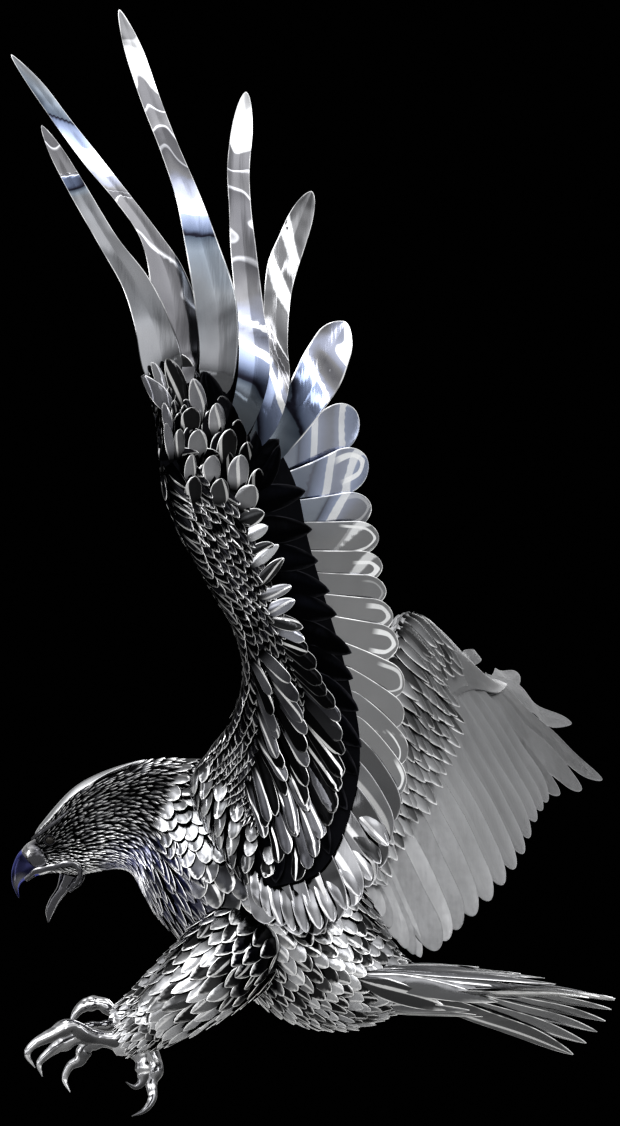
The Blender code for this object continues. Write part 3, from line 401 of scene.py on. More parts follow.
def noise(seed, count, low=-1.0, high=1.0):
    """The same row of random numbers on every run."""
    return np.random.default_rng(seed).uniform(low, high, count)


def varied(seed, count, share):
    """Random factors that differ from 1 by up to the share."""
    return 1 + share * noise(seed, count)


def turns(count, ends=False):
    """Even angles round a full circle."""
    return np.linspace(0, 2 * math.pi, count, endpoint=ends)


def ring_angles(count, row):
    """Even angles round a ring of plates, moved half a spacing on every other row."""
    return (np.arange(count) + 0.5 * (row % 2)) / count * 2 * math.pi


def grid(rows, columns):
    """Two arrays that pair each value of the rows with each of the columns."""
    return np.meshgrid(rows, columns, indexing="ij")


def sloped(surface, a, b, step=1e-3):
    """Point on a surface, and how it moves with each parameter."""
    by_a = (surface(a + step, b) - surface(a - step, b)) / (2 * step)
    by_b = (surface(a, b + step) - surface(a, b - step)) / (2 * step)
    return surface(a, b), by_a, by_b


def lengths(vectors):
    """Lengths of vectors."""
    return np.linalg.norm(vectors, axis=-1)


# Materials.


class Value:
    """A shader number. Sums and products written with it become Math nodes."""

    def __init__(self, net, socket):
        self.net = net
        self.socket = socket

    def math(self, operation, *others):
        """A Math node on this number and others."""
        return self.net.maths(operation, self, *others)

    def __add__(self, other):
        return self.math("ADD", other)

    def __mul__(self, other):
        return self.math("MULTIPLY", other)

    def __sub__(self, other):
        return self.math("SUBTRACT", other)

    def __rsub__(self, other):
        return self.net.maths("SUBTRACT", other, self)

    def __pow__(self, other):
        return self.math("POWER", other)

    __radd__ = __add__
    __rmul__ = __mul__

    def clamped(self):
        """Held between 0 and 1."""
        return Value(self.net, self.net.node("ShaderNodeClamp", {}, self).outputs[0])

    def part(self):
        """What is left after the whole number."""
        return self.math("FRACT")

    def step(self, start, steepness):
        """Rises from 0 at start to 1, by so much for each unit."""
        return ((self - start) * steepness).clamped()


class Net:
    """The node tree of one material or of the world."""

    def __init__(self, tree):
        self.tree = tree
        tree.nodes.clear()

    def give(self, socket, value):
        """Links a socket to a value, or sets its number or colour."""
        if isinstance(value, Value):
            value = value.socket
        if isinstance(value, bpy.types.NodeSocket):
            self.tree.links.new(value, socket)
        else:
            socket.default_value = value

    def node(self, kind, settings, *inputs, **named):
        """Adds a node, applies its settings, then gives its sockets values or links, by order or by
        name."""
        made = self.tree.nodes.new(kind)
        for key, value in settings.items():
            setattr(made, key, value)
        for key, value in enumerate(inputs):
            self.give(made.inputs[key], value)
        for key, value in named.items():
            self.give(made.inputs[key.replace("_", " ")], value)
        return made

    def maths(self, operation, *inputs):
        """A Math node on the given numbers."""
        return Value(self, self.node("ShaderNodeMath", {"operation": operation}, *inputs).outputs[0])

    def attribute(self, name):
        """A number that the mesh keeps on its points."""
        return Value(self, self.node("ShaderNodeAttribute", {"attribute_name": name}).outputs["Fac"])

    def place(self, stretch):
        """Object coordinates, stretched along each axis."""
        spot = self.node("ShaderNodeTexCoord", {}).outputs["Object"]
        return self.node("ShaderNodeMapping", {}, Vector=spot, Scale=stretch).outputs[0]

    def cloud(self, scale, detail, stretch=(1.0, 1.0, 1.0), twist=0.0):
        """Soft noise about 0.5 through the object."""
        return self.cloud_at(self.place(stretch), scale, detail, twist)

    def cloud_at(self, spot, scale, detail, twist):
        """Soft noise at a spot."""
        made = self.node("ShaderNodeTexNoise", {}, Vector=spot, Scale=scale, Detail=detail, Distortion=twist)
        return Value(self, made.outputs["Fac"])

    def ramp(self, value, rows):
        """The colour that a row of (place, colour) stops has at the value."""
        made = self.node("ShaderNodeValToRGB", {}, value)
        while len(made.color_ramp.elements) < len(rows):
            made.color_ramp.elements.new(0.5)
        for element, (position, shade) in zip(made.color_ramp.elements, rows):
            element.position = position
            element.color = shade
        return made.outputs[0]

    def blend(self, share, first, second):
        """From the first colour to the second as the share goes from 0 to 1."""
        made = self.node("ShaderNodeMix", {"data_type": "RGBA"})
        for socket, value in ((0, share), (6, first), (7, second)):
            self.give(made.inputs[socket], value)
        return made.outputs[2]

    def surface(self, **named):
        """The one shader of a material, and its output."""
        shader = self.node("ShaderNodeBsdfPrincipled", {}, **named)
        self.node("ShaderNodeOutputMaterial", {}, shader.outputs[0])


def new_material(name):
    """An empty material, and its node tree."""
    made = bpy.data.materials.new(name)
    made.use_nodes = True
    return made, Net(made.node_tree)


def colour(red, green, blue):
    """A colour that lets nothing through."""
    return (red, green, blue, 1.0)


def scaled(share, tone):
    """A colour made darker by the share."""
    return colour(*(share * np.array(tone)))


def stops(*rows):
    """Stops of a ramp from rows of (place, red, green, blue)."""
    return tuple((row[0], colour(*row[1:])) for row in rows)


# Painted reflections for the mirror feathers, as one goes round the studio: quiet greys, soft boxes
# with hard edges, and the violet-blue of the open side with a black seam. The share says where these
# painted bands take over from the plain steel, and the drift how far a slow cloud moves them.
SURROUNDINGS = stops((0.00, 0.17, 0.17, 0.18), (0.125, 0.24, 0.24, 0.25), (0.128, 0.96, 0.97, 1.0),
                     (0.205, 0.97, 0.98, 1.0), (0.208, 0.16, 0.16, 0.17), (0.262, 0.15, 0.15, 0.16),
                     (0.264, 0.75, 0.76, 0.80), (0.268, 0.75, 0.76, 0.80), (0.270, 0.17, 0.17, 0.18),
                     (0.330, 0.20, 0.20, 0.21), (0.333, 0.80, 0.81, 0.85), (0.340, 0.13, 0.13, 0.14),
                     (0.393, 0.15, 0.15, 0.16), (0.396, 0.70, 0.71, 0.75), (0.400, 0.12, 0.12, 0.13),
                     (0.440, 0.21, 0.21, 0.22), (0.465, 0.28, 0.295, 0.36), (0.500, 0.36, 0.38, 0.46),
                     (0.503, 0.97, 0.98, 1.0), (0.560, 0.97, 0.98, 1.0), (0.563, 0.34, 0.39, 0.53),
                     (0.660, 0.13, 0.155, 0.22), (0.690, 0.02, 0.02, 0.03), (0.700, 0.02, 0.02, 0.03),
                     (0.702, 0.07, 0.085, 0.11), (0.735, 0.19, 0.215, 0.25), (0.800, 0.19, 0.20, 0.215),
                     (1.00, 0.17, 0.17, 0.18))
SURROUNDINGS_SHARE = stops((0.0, 0.3, 0.3, 0.3), (0.14, 0.3, 0.3, 0.3), (0.15, 1, 1, 1), (0.80, 1, 1, 1),
                           (0.95, 0.3, 0.3, 0.3))
DRIFT = 0.16

# A loop of light in a feather's tip: the run at its middle, how much longer than wide it is, its radius as
# a share of the half width, its least half line and how much that grows, and how far the slow cloud bends
# it.
LOOP_MIDDLE = 0.87
LOOP_LENGTH = 6.4
LOOP_RADIUS = 0.62
LOOP_LINE = (0.06, 0.09)
LOOP_BEND = 1.1
LOOP_OPENS = 0.62
WHITE = colour(0.97, 0.98, 1.0)
# RIM: colour of the painted highlight on ground edges and on streaks of light.
RIM = (0.97, 0.97, 0.98)

# Polishing marks run upright and are this deep. Zones of colour count distance sideways less.
MARKS_STRETCH = (1.0, 1.0, 0.12)
MARKS_DEPTH = 0.0004
ZONE_DEPTH = 0.35


def paint_reflection(net, face, waves):
    """Painted reflection: what a mirror-polished feather would show of its surroundings, painted into its
    colour as bands that cross it at a slant, cut off hard or fading, from a cycle of grey, white, violet-blue
    and black. The place in the cycle is the feather's own mark, moved by a slow cloud with so many waves
    along the feather. Gives the face and the slow cloud."""
    run, side, own = net.attribute("run"), net.attribute("side"), net.attribute("tone")
    spot = net.node("ShaderNodeCombineXYZ", {}, side * 0.30 + own * 3.0, run * waves + own * 17.0, own * 9.0)
    drift = net.cloud_at(spot.outputs[0], 1.0, 0.4, 0.5) - 0.5
    place = (net.attribute("bands") + drift * DRIFT).part()
    shown = net.ramp(place, SURROUNDINGS)
    return net.blend(Value(net, net.ramp(place, SURROUNDINGS_SHARE)), face, shown), drift


def tip_loop(net, face, drift, strength):
    """A loop of light inside a rounded tip, open towards the root: bright where the distance from its
    middle, bent by the slow cloud, is close to its radius. Each feather's own mark sets its line, where it
    opens, and whether there is a loop at all."""
    run, side, own = net.attribute("run"), net.attribute("side"), net.attribute("tone")
    past = (run - LOOP_MIDDLE).math("MAXIMUM", 0.0) * LOOP_LENGTH
    away = (side * side + past ** 2.0) ** 0.5 + drift * LOOP_BEND + side * (own - 0.5) * 0.5
    line = (own * 9.7).part() * LOOP_LINE[1] + LOOP_LINE[0]
    ring = ((line - (away - LOOP_RADIUS).math("ABSOLUTE")) * 40.0).clamped()
    ring = ring * ((run - LOOP_OPENS - (own * 3.9).part() * 0.14) * 14.0).clamped()
    there = (own * 13.3).part().step(0.22, 5.0)
    return net.blend(ring * there * strength, face, WHITE)


def zone_tint(net, face, own, zone):
    """The face takes on a zone's colour in a ball, most at its middle, and more on some plates than
    others. Most zones paint reflections, highlights and shade in this way."""
    (x, y, z), radius, tint, strength = zone
    away = net.node("ShaderNodeVectorMath", {"operation": "DISTANCE"}, net.place((1.0, ZONE_DEPTH, 1.0)),
                    (x, ZONE_DEPTH * y, z)).outputs["Value"]
    inside = ((1.0 - Value(net, away) * (1 / radius)) * 1.6).clamped()
    return net.blend(inside * strength * (0.4 + own * 0.6), face, colour(*tint))


def streak(net, face, own, strength):
    """A narrow streak of light across a plate at a slant, somewhere else on each plate, or off it."""
    across = net.attribute("side") * 0.5 + net.attribute("run") * 0.40 + (own * 5.3).part() * 1.4 - 0.95
    return net.blend(((0.10 - across.math("ABSOLUTE")) * 26.0).clamped() * strength, face, colour(*RIM))


def polished(name, tone, tint, rim=RIM, *, roughness, waves, spread=0.0, tint_share=0.5, flow=None, zones=(),
             shade=0.5, gleam=0.0, root_shade=1.1, one_sided=0.0):
    """Polished steel. Its tone clouds over into the tint, differs by the spread from plate to plate (shade
    says which are dark), is darkened as painted shade where a feather tucks under the next, and is painted
    bright as a highlight on the rougher ground rim, on one side more than on the other where one_sided says
    so, as if lit from one side. waves are the number and depth of the long soft waves that bend what it
    mirrors, with fine polishing marks on them. flow is the waves of the painted reflection bands and the
    strength of the painted loop of light in the tip. Zones are balls in which the face takes on a colour,
    mostly painted reflection, highlight and shade: middle, radius, colour, strength."""
    made, net = new_material(name)
    edge, tuck, own = net.attribute("rim"), net.attribute("tuck"), net.attribute("tone")
    haze, marks = net.cloud(38.0, 4.0), net.cloud(60.0, 3.0, MARKS_STRETCH)
    share = ((net.cloud(2.6, 3.0, twist=0.6) - 0.42) * 2.6 + (own - 0.5) * 0.8).clamped() * tint_share
    face = net.blend(share, colour(*tone), colour(*tint))
    if flow:
        # Painted reflection of the studio.
        face, drift = paint_reflection(net, face, flow[0])
    face = net.blend(((shade - own) * 3.0 + 0.5).clamped() * spread, face, scaled(0.05, tone))
    for zone in zones:
        face = zone_tint(net, face, own, zone)
    if flow and flow[1]:
        face = tip_loop(net, face, drift, flow[1])
    if gleam:
        face = streak(net, face, own, gleam)
    # Painted shade where the plate tucks under the next.
    face = net.blend((tuck * root_shade).clamped(), face, scaled(0.02, tone))
    # Painted highlight on the ground rim, broken up along it and dimmed on one side as if lit from the other.
    glints = net.cloud(14.0, 1.0).step(0.34, 5.0) * 0.70 + 0.30
    if one_sided:
        glints = glints * (1.0 - (net.attribute("side") * 0.5 + 0.5) * one_sided)
    face = net.blend((edge * 1.5 - 0.15).clamped() * glints, face, colour(*rim))
    rough = (haze * 0.6 + marks * 0.4) * roughness * 1.1 + roughness * 0.5 + edge * 0.26
    rough = rough + own * roughness * 0.4
    bend = net.node("ShaderNodeBump", {}, Height=net.cloud(waves[0], 2.0, twist=0.8), Strength=1.0,
                    Distance=waves[1])
    fine = net.node("ShaderNodeBump", {}, Height=marks, Strength=1.0, Distance=MARKS_DEPTH,
                    Normal=bend.outputs[0])
    net.surface(Base_Color=face, Metallic=1.0, Roughness=rough.clamped(), Normal=fine.outputs[0])
    return made


def eye_stone(name):
    """Dark polished eye: near black with warm flecks."""
    made, net = new_material(name)
    flecks = net.cloud(160.0, 3.0)
    face = net.blend(flecks, colour(0.004, 0.004, 0.004), colour(0.020, 0.016, 0.012))
    net.surface(Base_Color=face, Metallic=0.3, Roughness=flecks * 0.08 + 0.03)
    return made


def floor_paint(name):
    """Pale floor, faintly clouded."""
    made, net = new_material(name)
    grain = net.cloud(0.8, 4.0)
    face = net.blend(grain, colour(0.52, 0.52, 0.51), colour(0.60, 0.60, 0.59))
    net.surface(Base_Color=face, Roughness=grain * 0.1 + 0.55)
    return made


# Zones of colour: middle, radius, colour, strength. Most are painted light on the steel.
# Painted violet-blue reflections on the chest and throat.
CHEST = ((-0.47, -0.14, -0.50), 0.27, (0.030, 0.033, 0.085), 0.95)
THROAT = ((-0.54, 0.0, -0.41), 0.17, (0.10, 0.11, 0.26), 0.8)
# Painted bright reflection on the shoulder.
SHOULDER = ((-0.26, -0.28, -0.24), 0.25, (0.66, 0.67, 0.70), 0.85)
FLANK_SHADE = ((-0.17, -0.40, -0.47), 0.15, (0.05, 0.051, 0.056), 1.5)
# Painted shade in the gap between thigh and belly.
THIGH_GAP_SHADE = ((-0.10, -0.30, -0.76), 0.15, (0.004, 0.004, 0.006), 2.2)
THIGH_SHADE = ((-0.07, -0.22, -0.87), 0.15, (0.004, 0.004, 0.006), 1.8)
BEAK_SHINE = ((-0.975, -0.05, -0.322), 0.030, (0.97, 0.97, 0.98), 1.0)
# Painted bluish reflection near the hand.
HAND_SKY = ((0.22, -0.62, 1.18), 0.36, (0.46, 0.49, 0.58), 0.50)
# A plain grey over part of the secondaries' painted reflection bands.
QUIET = ((0.36, -0.45, 0.30), 0.70, (0.29, 0.292, 0.30), 1.3)
PALATE = ((-1.00, 0.0, -0.448), 0.045, (0.30, 0.295, 0.28), 1.2)

# Long feathers: the outer and the inner primaries, the secondaries, the tertials with the flank, and the
# tail. The primaries and secondaries carry painted reflection bands, the secondaries a painted loop of light
# in the tip, and the tertials, flank and tail painted streaks of light.
MIRROR = polished("primary_polish", (0.17, 0.172, 0.178), (0.12, 0.122, 0.13), roughness=0.10,
                  waves=(2.0, 0.016), flow=(6.2, 0.0), root_shade=0.2)
BANDED = polished("inner_primary_polish", (0.20, 0.202, 0.208), (0.12, 0.122, 0.13), roughness=0.10,
                  waves=(2.0, 0.016), flow=(6.2, 0.0), root_shade=0.6)
PADDLE = polished("secondary_polish", (0.25, 0.253, 0.26), (0.18, 0.185, 0.20), roughness=0.12,
                  waves=(2.0, 0.010), flow=(1.92, 0.95), zones=(HAND_SKY, QUIET))
FLANK = polished("flank_polish", (0.26, 0.262, 0.272), (0.10, 0.101, 0.11), (0.60, 0.60, 0.62),
                 roughness=0.11, waves=(3.0, 0.008), spread=0.80, tint_share=0.9, shade=0.30, gleam=0.45)
BLADE = polished("tail_polish", (0.21, 0.212, 0.22), (0.06, 0.061, 0.066), roughness=0.14,
                 waves=(2.0, 0.012), spread=0.80, tint_share=0.9, shade=0.30, gleam=0.70)
TAIL_LEAVES = polished("tail_covert_polish", (0.22, 0.222, 0.23), (0.08, 0.081, 0.09), roughness=0.12,
                       waves=(4.0, 0.010), spread=0.70, shade=0.30, gleam=0.6)

# Scales of the body and coverts of the near wing.
SCALES = polished("scale_polish", (0.50, 0.505, 0.52), (0.13, 0.132, 0.15), roughness=0.12,
                  waves=(5.0, 0.008), spread=0.99,
                  zones=(SHOULDER, CHEST, FLANK_SHADE, THIGH_GAP_SHADE, THIGH_SHADE), gleam=0.60)
# Chest plates painted dark violet as a reflection.
CHEST_PLATES = polished("chest_polish", (0.17, 0.172, 0.19), (0.04, 0.041, 0.07), roughness=0.12,
                        waves=(5.0, 0.008), spread=0.99, zones=(CHEST,), shade=0.70, gleam=0.35)
# Coverts painted near black as a reflection of dark surroundings, with painted highlights on their rims.
COVERTS = polished("covert_polish", (0.018, 0.0182, 0.021), (0.006, 0.006, 0.008), roughness=0.10,
                   waves=(5.0, 0.008), spread=0.90, gleam=0.35, one_sided=0.75)
ELBOW = polished("elbow_covert_polish", (0.16, 0.162, 0.175), (0.012, 0.012, 0.016), roughness=0.12,
                 waves=(5.0, 0.008), spread=1.0, tint_share=0.9, shade=0.62, gleam=0.7, one_sided=0.85)
HAND = polished("hand_polish", (0.34, 0.343, 0.36), (0.05, 0.051, 0.07), roughness=0.12, waves=(5.0, 0.008),
                spread=0.97, tint_share=0.9, shade=0.55, gleam=0.6, one_sided=0.5)
# The bright row: the same steel painted light as a reflection of the studio's lights.
BRIGHT = polished("bright_covert_reflection_polish", (0.58, 0.59, 0.62), (0.16, 0.165, 0.20), roughness=0.10,
                  waves=(4.0, 0.010), spread=0.97, tint_share=0.9, shade=0.42, gleam=0.7)
# The black row: painted near black as a reflection of dark surroundings.
DARK = polished("dark_reflection_polish", (0.0025, 0.0026, 0.0032), (0.005, 0.0055, 0.009), (0.035, 0.035, 0.04),
                roughness=0.20, waves=(3.0, 0.010))
# Hull under the plates, painted near black as the shade in the gaps between them.
HULL = polished("hull_shade_polish", (0.008, 0.0082, 0.010), (0.006, 0.0065, 0.009), (0.02, 0.02, 0.02),
                roughness=0.40, waves=(6.0, 0.004))

# The far wing.
SATIN = polished("satin_polish", (0.34, 0.342, 0.35), (0.30, 0.302, 0.31), (0.40, 0.40, 0.41),
                 roughness=0.42, waves=(1.2, 0.006), root_shade=0.0)
POINTED = polished("far_covert_polish", (0.30, 0.303, 0.31), (0.20, 0.203, 0.21), (0.80, 0.80, 0.81),
                   roughness=0.30, waves=(3.0, 0.006), spread=0.8, shade=0.20)

# Head, neck and feet.
SLIVERS = polished("sliver_polish", (0.13, 0.132, 0.14), (0.04, 0.042, 0.05), roughness=0.16,
                   waves=(5.0, 0.010), spread=0.97, zones=(THROAT,), shade=0.62)
CROWN = polished("crown_polish", (0.62, 0.625, 0.64), (0.46, 0.47, 0.52), roughness=0.22, waves=(3.0, 0.010))
EYELID = polished("lid_polish", (0.03, 0.03, 0.034), (0.01, 0.01, 0.012), roughness=0.25,
                  waves=(20.0, 0.002))
BLUED = polished("blued_polish", (0.022, 0.023, 0.050), (0.008, 0.0085, 0.014), (0.17, 0.19, 0.55),
                 roughness=0.14, waves=(6.0, 0.004), tint_share=0.9, zones=(PALATE,))
FACE = polished("face_polish", (0.10, 0.10, 0.108), (0.025, 0.026, 0.032), roughness=0.14,
                waves=(14.0, 0.006), tint_share=0.9, zones=(BEAK_SHINE,))
EYE = eye_stone("eye_polish")
TALON = polished("talon_polish", (0.46, 0.462, 0.475), (0.10, 0.101, 0.11), roughness=0.06,
                 waves=(13.0, 0.0045), tint_share=0.9, gleam=0.5)


# Meshes from whole arrays.


def add_piece(name, points, blocks, coat, nodes=(), marks=None, crisp=CRISP):
    """One mesh from a table of points and blocks of faces with the same number of corners. Edges sharper
    than crisp degrees stay sharp. marks are numbers on the points that the materials read. It rides on the
    one body, and stands for the named nodes of the solids."""
    mesh = bpy.data.meshes.new(name)
    points = points.reshape(-1, 3) - PAD_TOP
    corners = np.concatenate([block.ravel() for block in blocks])
    sizes = np.concatenate([np.full(len(block), block.shape[1]) for block in blocks])
    mesh.vertices.add(len(points))
    mesh.vertices.foreach_set("co", points.ravel())
    mesh.loops.add(len(corners))
    mesh.loops.foreach_set("vertex_index", corners)
    mesh.polygons.add(len(sizes))
    mesh.polygons.foreach_set("loop_start", np.concatenate([[0], np.cumsum(sizes)[:-1]]))
    mesh.update(calc_edges=True)
    mesh.validate()
    mesh.polygons.foreach_set("use_smooth", np.ones(len(mesh.polygons), bool))
    mesh.set_sharp_from_angle(angle=math.radians(crisp))
    for key in MARKS:
        values = np.ravel(marks[key]) if marks and key in marks else np.zeros(len(points))
        mesh.attributes.new(key, "FLOAT", "POINT").data.foreach_set("value", values.astype(np.float32))
    mesh.materials.append(coat)
    made = bpy.data.objects.new(name, mesh)
    bpy.context.scene.collection.objects.link(made)
    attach(made, "root")
    if nodes:
        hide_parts(*nodes)


def ring_faces(count, rows, sides):
    """Faces of count closed tubes of rows rings with the same number of sides, and their two end caps."""
    r, s = grid(np.arange(rows - 1), np.arange(sides))
    after = (s + 1) % sides
    corners = (r * sides + s, r * sides + after, (r + 1) * sides + after, (r + 1) * sides + s)
    one = np.stack(corners, -1).reshape(-1, 4)
    ends = np.stack([np.arange(sides)[::-1], (rows - 1) * sides + np.arange(sides)])
    shift = (np.arange(count) * rows * sides)[:, None, None]
    return (one[None] + shift).reshape(-1, 4), (ends[None] + shift).reshape(-1, sides)


def tubes(name, rings, coat, nodes=(), marks=None, crisp=CRISP):
    """Closed tubes through rings of points, an array of (tube, ring, corner, xyz), turned to face
    outwards."""
    count, rows, sides = rings.shape[:3]
    quads, caps = ring_faces(count, rows, sides)
    flat = rings.reshape(-1, 3)
    a, b, c, d = (flat[quads[:, k]] for k in range(4))
    middle = np.repeat(rings.mean((1, 2)), len(quads) // count, axis=0)
    outward = (np.cross(c - a, d - b) * (0.25 * (a + b + c + d) - middle)).sum(-1).reshape(count, -1).sum(1)
    for faces in (quads, caps):
        turned = np.repeat(outward < 0, len(faces) // count)
        faces[turned] = faces[turned][:, ::-1]
    add_piece(name, flat, (quads, caps), coat, nodes, marks, crisp)


def clad(name, plates, coat):
    """Plates, as lay gives them, as one piece of the cladding."""
    rings, marks = plates
    tubes(name, rings, coat, marks=marks)


def spread_marks(shape, **marks):
    """Marks broadcast to every point of the rings."""
    return {key: np.broadcast_to(value, shape) for key, value in marks.items()}


def section(*places, middle=(0,)):
    """Places across a plate: its edges, the given ones on both sides, and its middle."""
    half = (1, *places)
    return (*(-place for place in half), *middle, *half[::-1])


class Outline:
    """Shape of a plate feather. Its half width at u is a swelling root times (1 - x^p)^(1/q) past where the
    tip begins. Its section is a dome less a crease, with a rounded rim, on a sheet of even thickness. The
    rim is marked for a painted highlight where a point is near the cut edge, from rim_from on; slender is
    about length over half width, and lit_tip marks the whole tip for the painted highlight instead."""

    def __init__(self, rows, top, root, tip_begins, p, q, dome, crease, rim=0.06, cup=0.0, slender=3.0,
                 lit_tip=False, rim_from=0.15):
        self.u = 1.0 - (1.0 - np.linspace(0.0, 1.0, rows)) ** ROWS_CROWD_TIP
        x = np.clip((self.u - tip_begins) / (1.0 - tip_begins), 0.0, 1.0)
        swell = root + (1.0 - root) * smooth(self.u / ROOT_SWELLS)
        self.half = swell * np.maximum((1.0 - x**p) ** (1.0 / q), BLUNT_TIP)
        s = np.array(top, float)
        under = s[1:-1][::-1][:: 2 if len(s) > 6 else 1] if len(s) > 3 else s[1:2]
        self.s = np.concatenate([s, under * 0.98])
        self.layer = np.concatenate([np.zeros(len(s)), -np.ones(len(under))])
        self.layer[[0, len(s) - 1]] = -0.55
        # How far in from the cut edge a point lies, as a share of the full half width.
        slope = np.abs(np.gradient(self.half, self.u)) / slender
        inward = (1.0 - np.abs(s)) * (self.half / np.sqrt(1.0 + slope**2))[:, None]
        lit = np.clip(1.0 - inward / rim, 0.0, 1.0) * smooth((self.u - rim_from) / 0.2)[:, None]
        if lit_tip:
            lit = smooth((self.u - 0.50) / 0.35)[:, None] * (1.0 - 0.75 * np.abs(s))
        self.rim = np.concatenate([lit, np.zeros((rows, len(under)))], axis=1)
        self.dome = dome
        self.crease = crease
        self.cup = cup

    def plates(self, middle, normal, half, seed, lean=0.0, tuck=0.35, thickness=PLATE):
        """Rings and marks of plates laid along midlines, arrays of (plate, row, xyz), with surface normals.
        half is each plate's half width, lean how far it tips to its side, and tuck how much of it hides,
        where the materials paint shade."""
        direction = unit(np.gradient(middle, axis=1))
        side = unit(np.cross(direction, normal))
        upright = np.cross(side, direction)
        half = np.broadcast_to(half, len(middle))[:, None] * self.half[None, :]
        out = half[..., None] * self.s
        rise = half[..., None] * (self.dome * (1 - self.s**2) - self.crease * np.abs(self.s)
                                  + self.cup * smooth(self.u)[None, :, None] * self.s**2)
        rise = rise + np.reshape(lean, (-1, 1, 1)) * out + self.layer * thickness
        rings = middle[:, :, None] + out[..., None] * side[:, :, None] + rise[..., None] * upright[:, :, None]
        shape = rings.shape[:3]
        marks = spread_marks(shape, rim=self.rim[None], tuck=(1.0 - smooth(self.u / tuck))[None, :, None],
                             tone=noise(seed, (shape[0], 1, 1), 0.0, 1.0), run=self.u[None, :, None],
                             side=self.s[None, None, :])
        return rings, marks


ROUND_SCALE = Outline(7, section(0.90), root=0.75, tip_begins=0.30, p=2.2, q=1.9, dome=0.05, crease=0.01,
                      rim=0.10, rim_from=0.30)
SMALL_SCALE = Outline(8, section(0.84), root=0.80, tip_begins=0.45, p=2.0, q=1.8, dome=0.08, crease=0.02,
                      rim=0.13, rim_from=0.42)
POINTED_SCALE = Outline(7, section(0.88), root=0.64, tip_begins=0.26, p=1.9, q=1.5, dome=0.04, crease=0.03,
                        rim=0.11, rim_from=0.30)
SLIVER = Outline(5, section(), root=0.55, tip_begins=0.25, p=1.5, q=1.1, dome=0.30, crease=0.10,
                 lit_tip=True)
NARROW_SCALE = Outline(7, section(0.74), root=0.60, tip_begins=0.35, p=1.8, q=1.5, dome=0.16, crease=0.05,
                       rim=0.22, rim_from=0.45)
LONG_COVERT = Outline(12, section(0.90, 0.45), root=0.50, tip_begins=0.55, p=2.0, q=1.7, dome=0.05,
                      crease=0.12, rim=0.09)
LEAF_COVERT = Outline(12, section(0.88, 0.45), root=0.45, tip_begins=0.35, p=1.9, q=1.45, dome=0.08,
                      crease=0.08, rim=0.12)
HAND_COVERT = Outline(12, section(0.88, 0.45), root=0.50, tip_begins=0.50, p=2.0, q=1.8, dome=0.06,
                      crease=0.14, rim=0.10)
TAIL_BLADE = Outline(20, section(0.86), root=0.30, tip_begins=0.45, p=1.8, q=1.3, dome=0.04, crease=0.05,
                     rim=0.12, slender=8.0)
FINGER = Outline(14, section(0.86, 0.40), root=0.70, tip_begins=0.78, p=2.0, q=1.9, dome=0.08, crease=0.10,
                 rim=0.10, slender=5.0)
VANE_SECTION = section(0.965, 0.90, 0.62, 0.32, 0.04, middle=())


def lay(surface, starts, runs, outline, half, lift, seed, lean=0.0, tuck=0.35):
    """Plates that follow a surface: each runs from its start by its run, both in the surface's own two
    parameters, and rises off it by lift[0] at the root and lift[1] at the tip."""
    where = starts[:, None, :] + runs[:, None, :] * outline.u[None, :, None]
    point, normal = surface(where[..., 0], where[..., 1])
    height = lift[0] + (lift[1] - lift[0]) * outline.u
    return outline.plates(point + height[None, :, None] * normal, normal, half, seed, lean, tuck)


def joined(*groups):
    """Several groups of plates with the same outline, as one."""
    rings = np.concatenate([group[0] for group in groups])
    return rings, {key: np.concatenate([group[1][key] for group in groups]) for key in groups[0][1]}


# The trunk, neck and head.


def edges_and_width(sections, place):
    """The two edge lines and the half width of a row of sections, each a spline through the sections'
    values."""
    first, second = (along([(row[k][0], 0.0, row[k][1]) for row in sections], place) for k in (0, 1))
    return first, second, level([row[2] for row in sections], place)


def trunk(place, angle, growth=0.0):
    """Point of the trunk: a section's middle, plus its half height times cos(angle) and its half width
    times sin(angle). The angle runs from the back down the left side."""
    top, bottom, half_width = edges_and_width(BODY_SECTIONS, place)
    upright = 0.5 * (top - bottom)
    up = np.cos(angle) * (lengths(upright) + growth)
    out = np.sin(angle) * (half_width + growth)
    return 0.5 * (top + bottom) + up[..., None] * unit(upright) + out[..., None] * LEFT


def trunk_face(place, angle):
    """Point and outward normal of the trunk."""
    point, by_place, by_angle = sloped(trunk, place, angle)
    return point, unit(np.cross(by_angle, by_place))


def trunk_rows(first, last, size, spread):
    """Staggered rows of feathers round the trunk, closer together on the back as the spread says. size is
    the width and the length of a feather as functions of the place. Gives place, angle, length, width, and
    how far the trunk goes with place and with angle, as columns."""
    found = []
    place, row = first, 0
    while place < last:
        girth = lengths(np.diff(trunk(np.full(97, place), turns(97, True)), axis=0)).sum()
        width, length = size[0](place), size[1](place)
        count = max(8, round(girth / width))
        share = ring_angles(count, row)
        angle = share + spread * np.sin(share)
        _, by_place, by_angle = sloped(trunk, np.full(count, place), angle)
        wide = lengths(by_angle) * 2 * math.pi / count * (1 + spread * np.cos(share))
        found.append(np.stack([np.full(count, place), angle, np.full(count, length), wide, lengths(by_place),
                               lengths(by_angle)], -1))
        place += length / lengths(sloped(trunk, np.array([place]), np.array([math.pi / 2]))[1])[0]
        row += 1
    return np.concatenate(found)


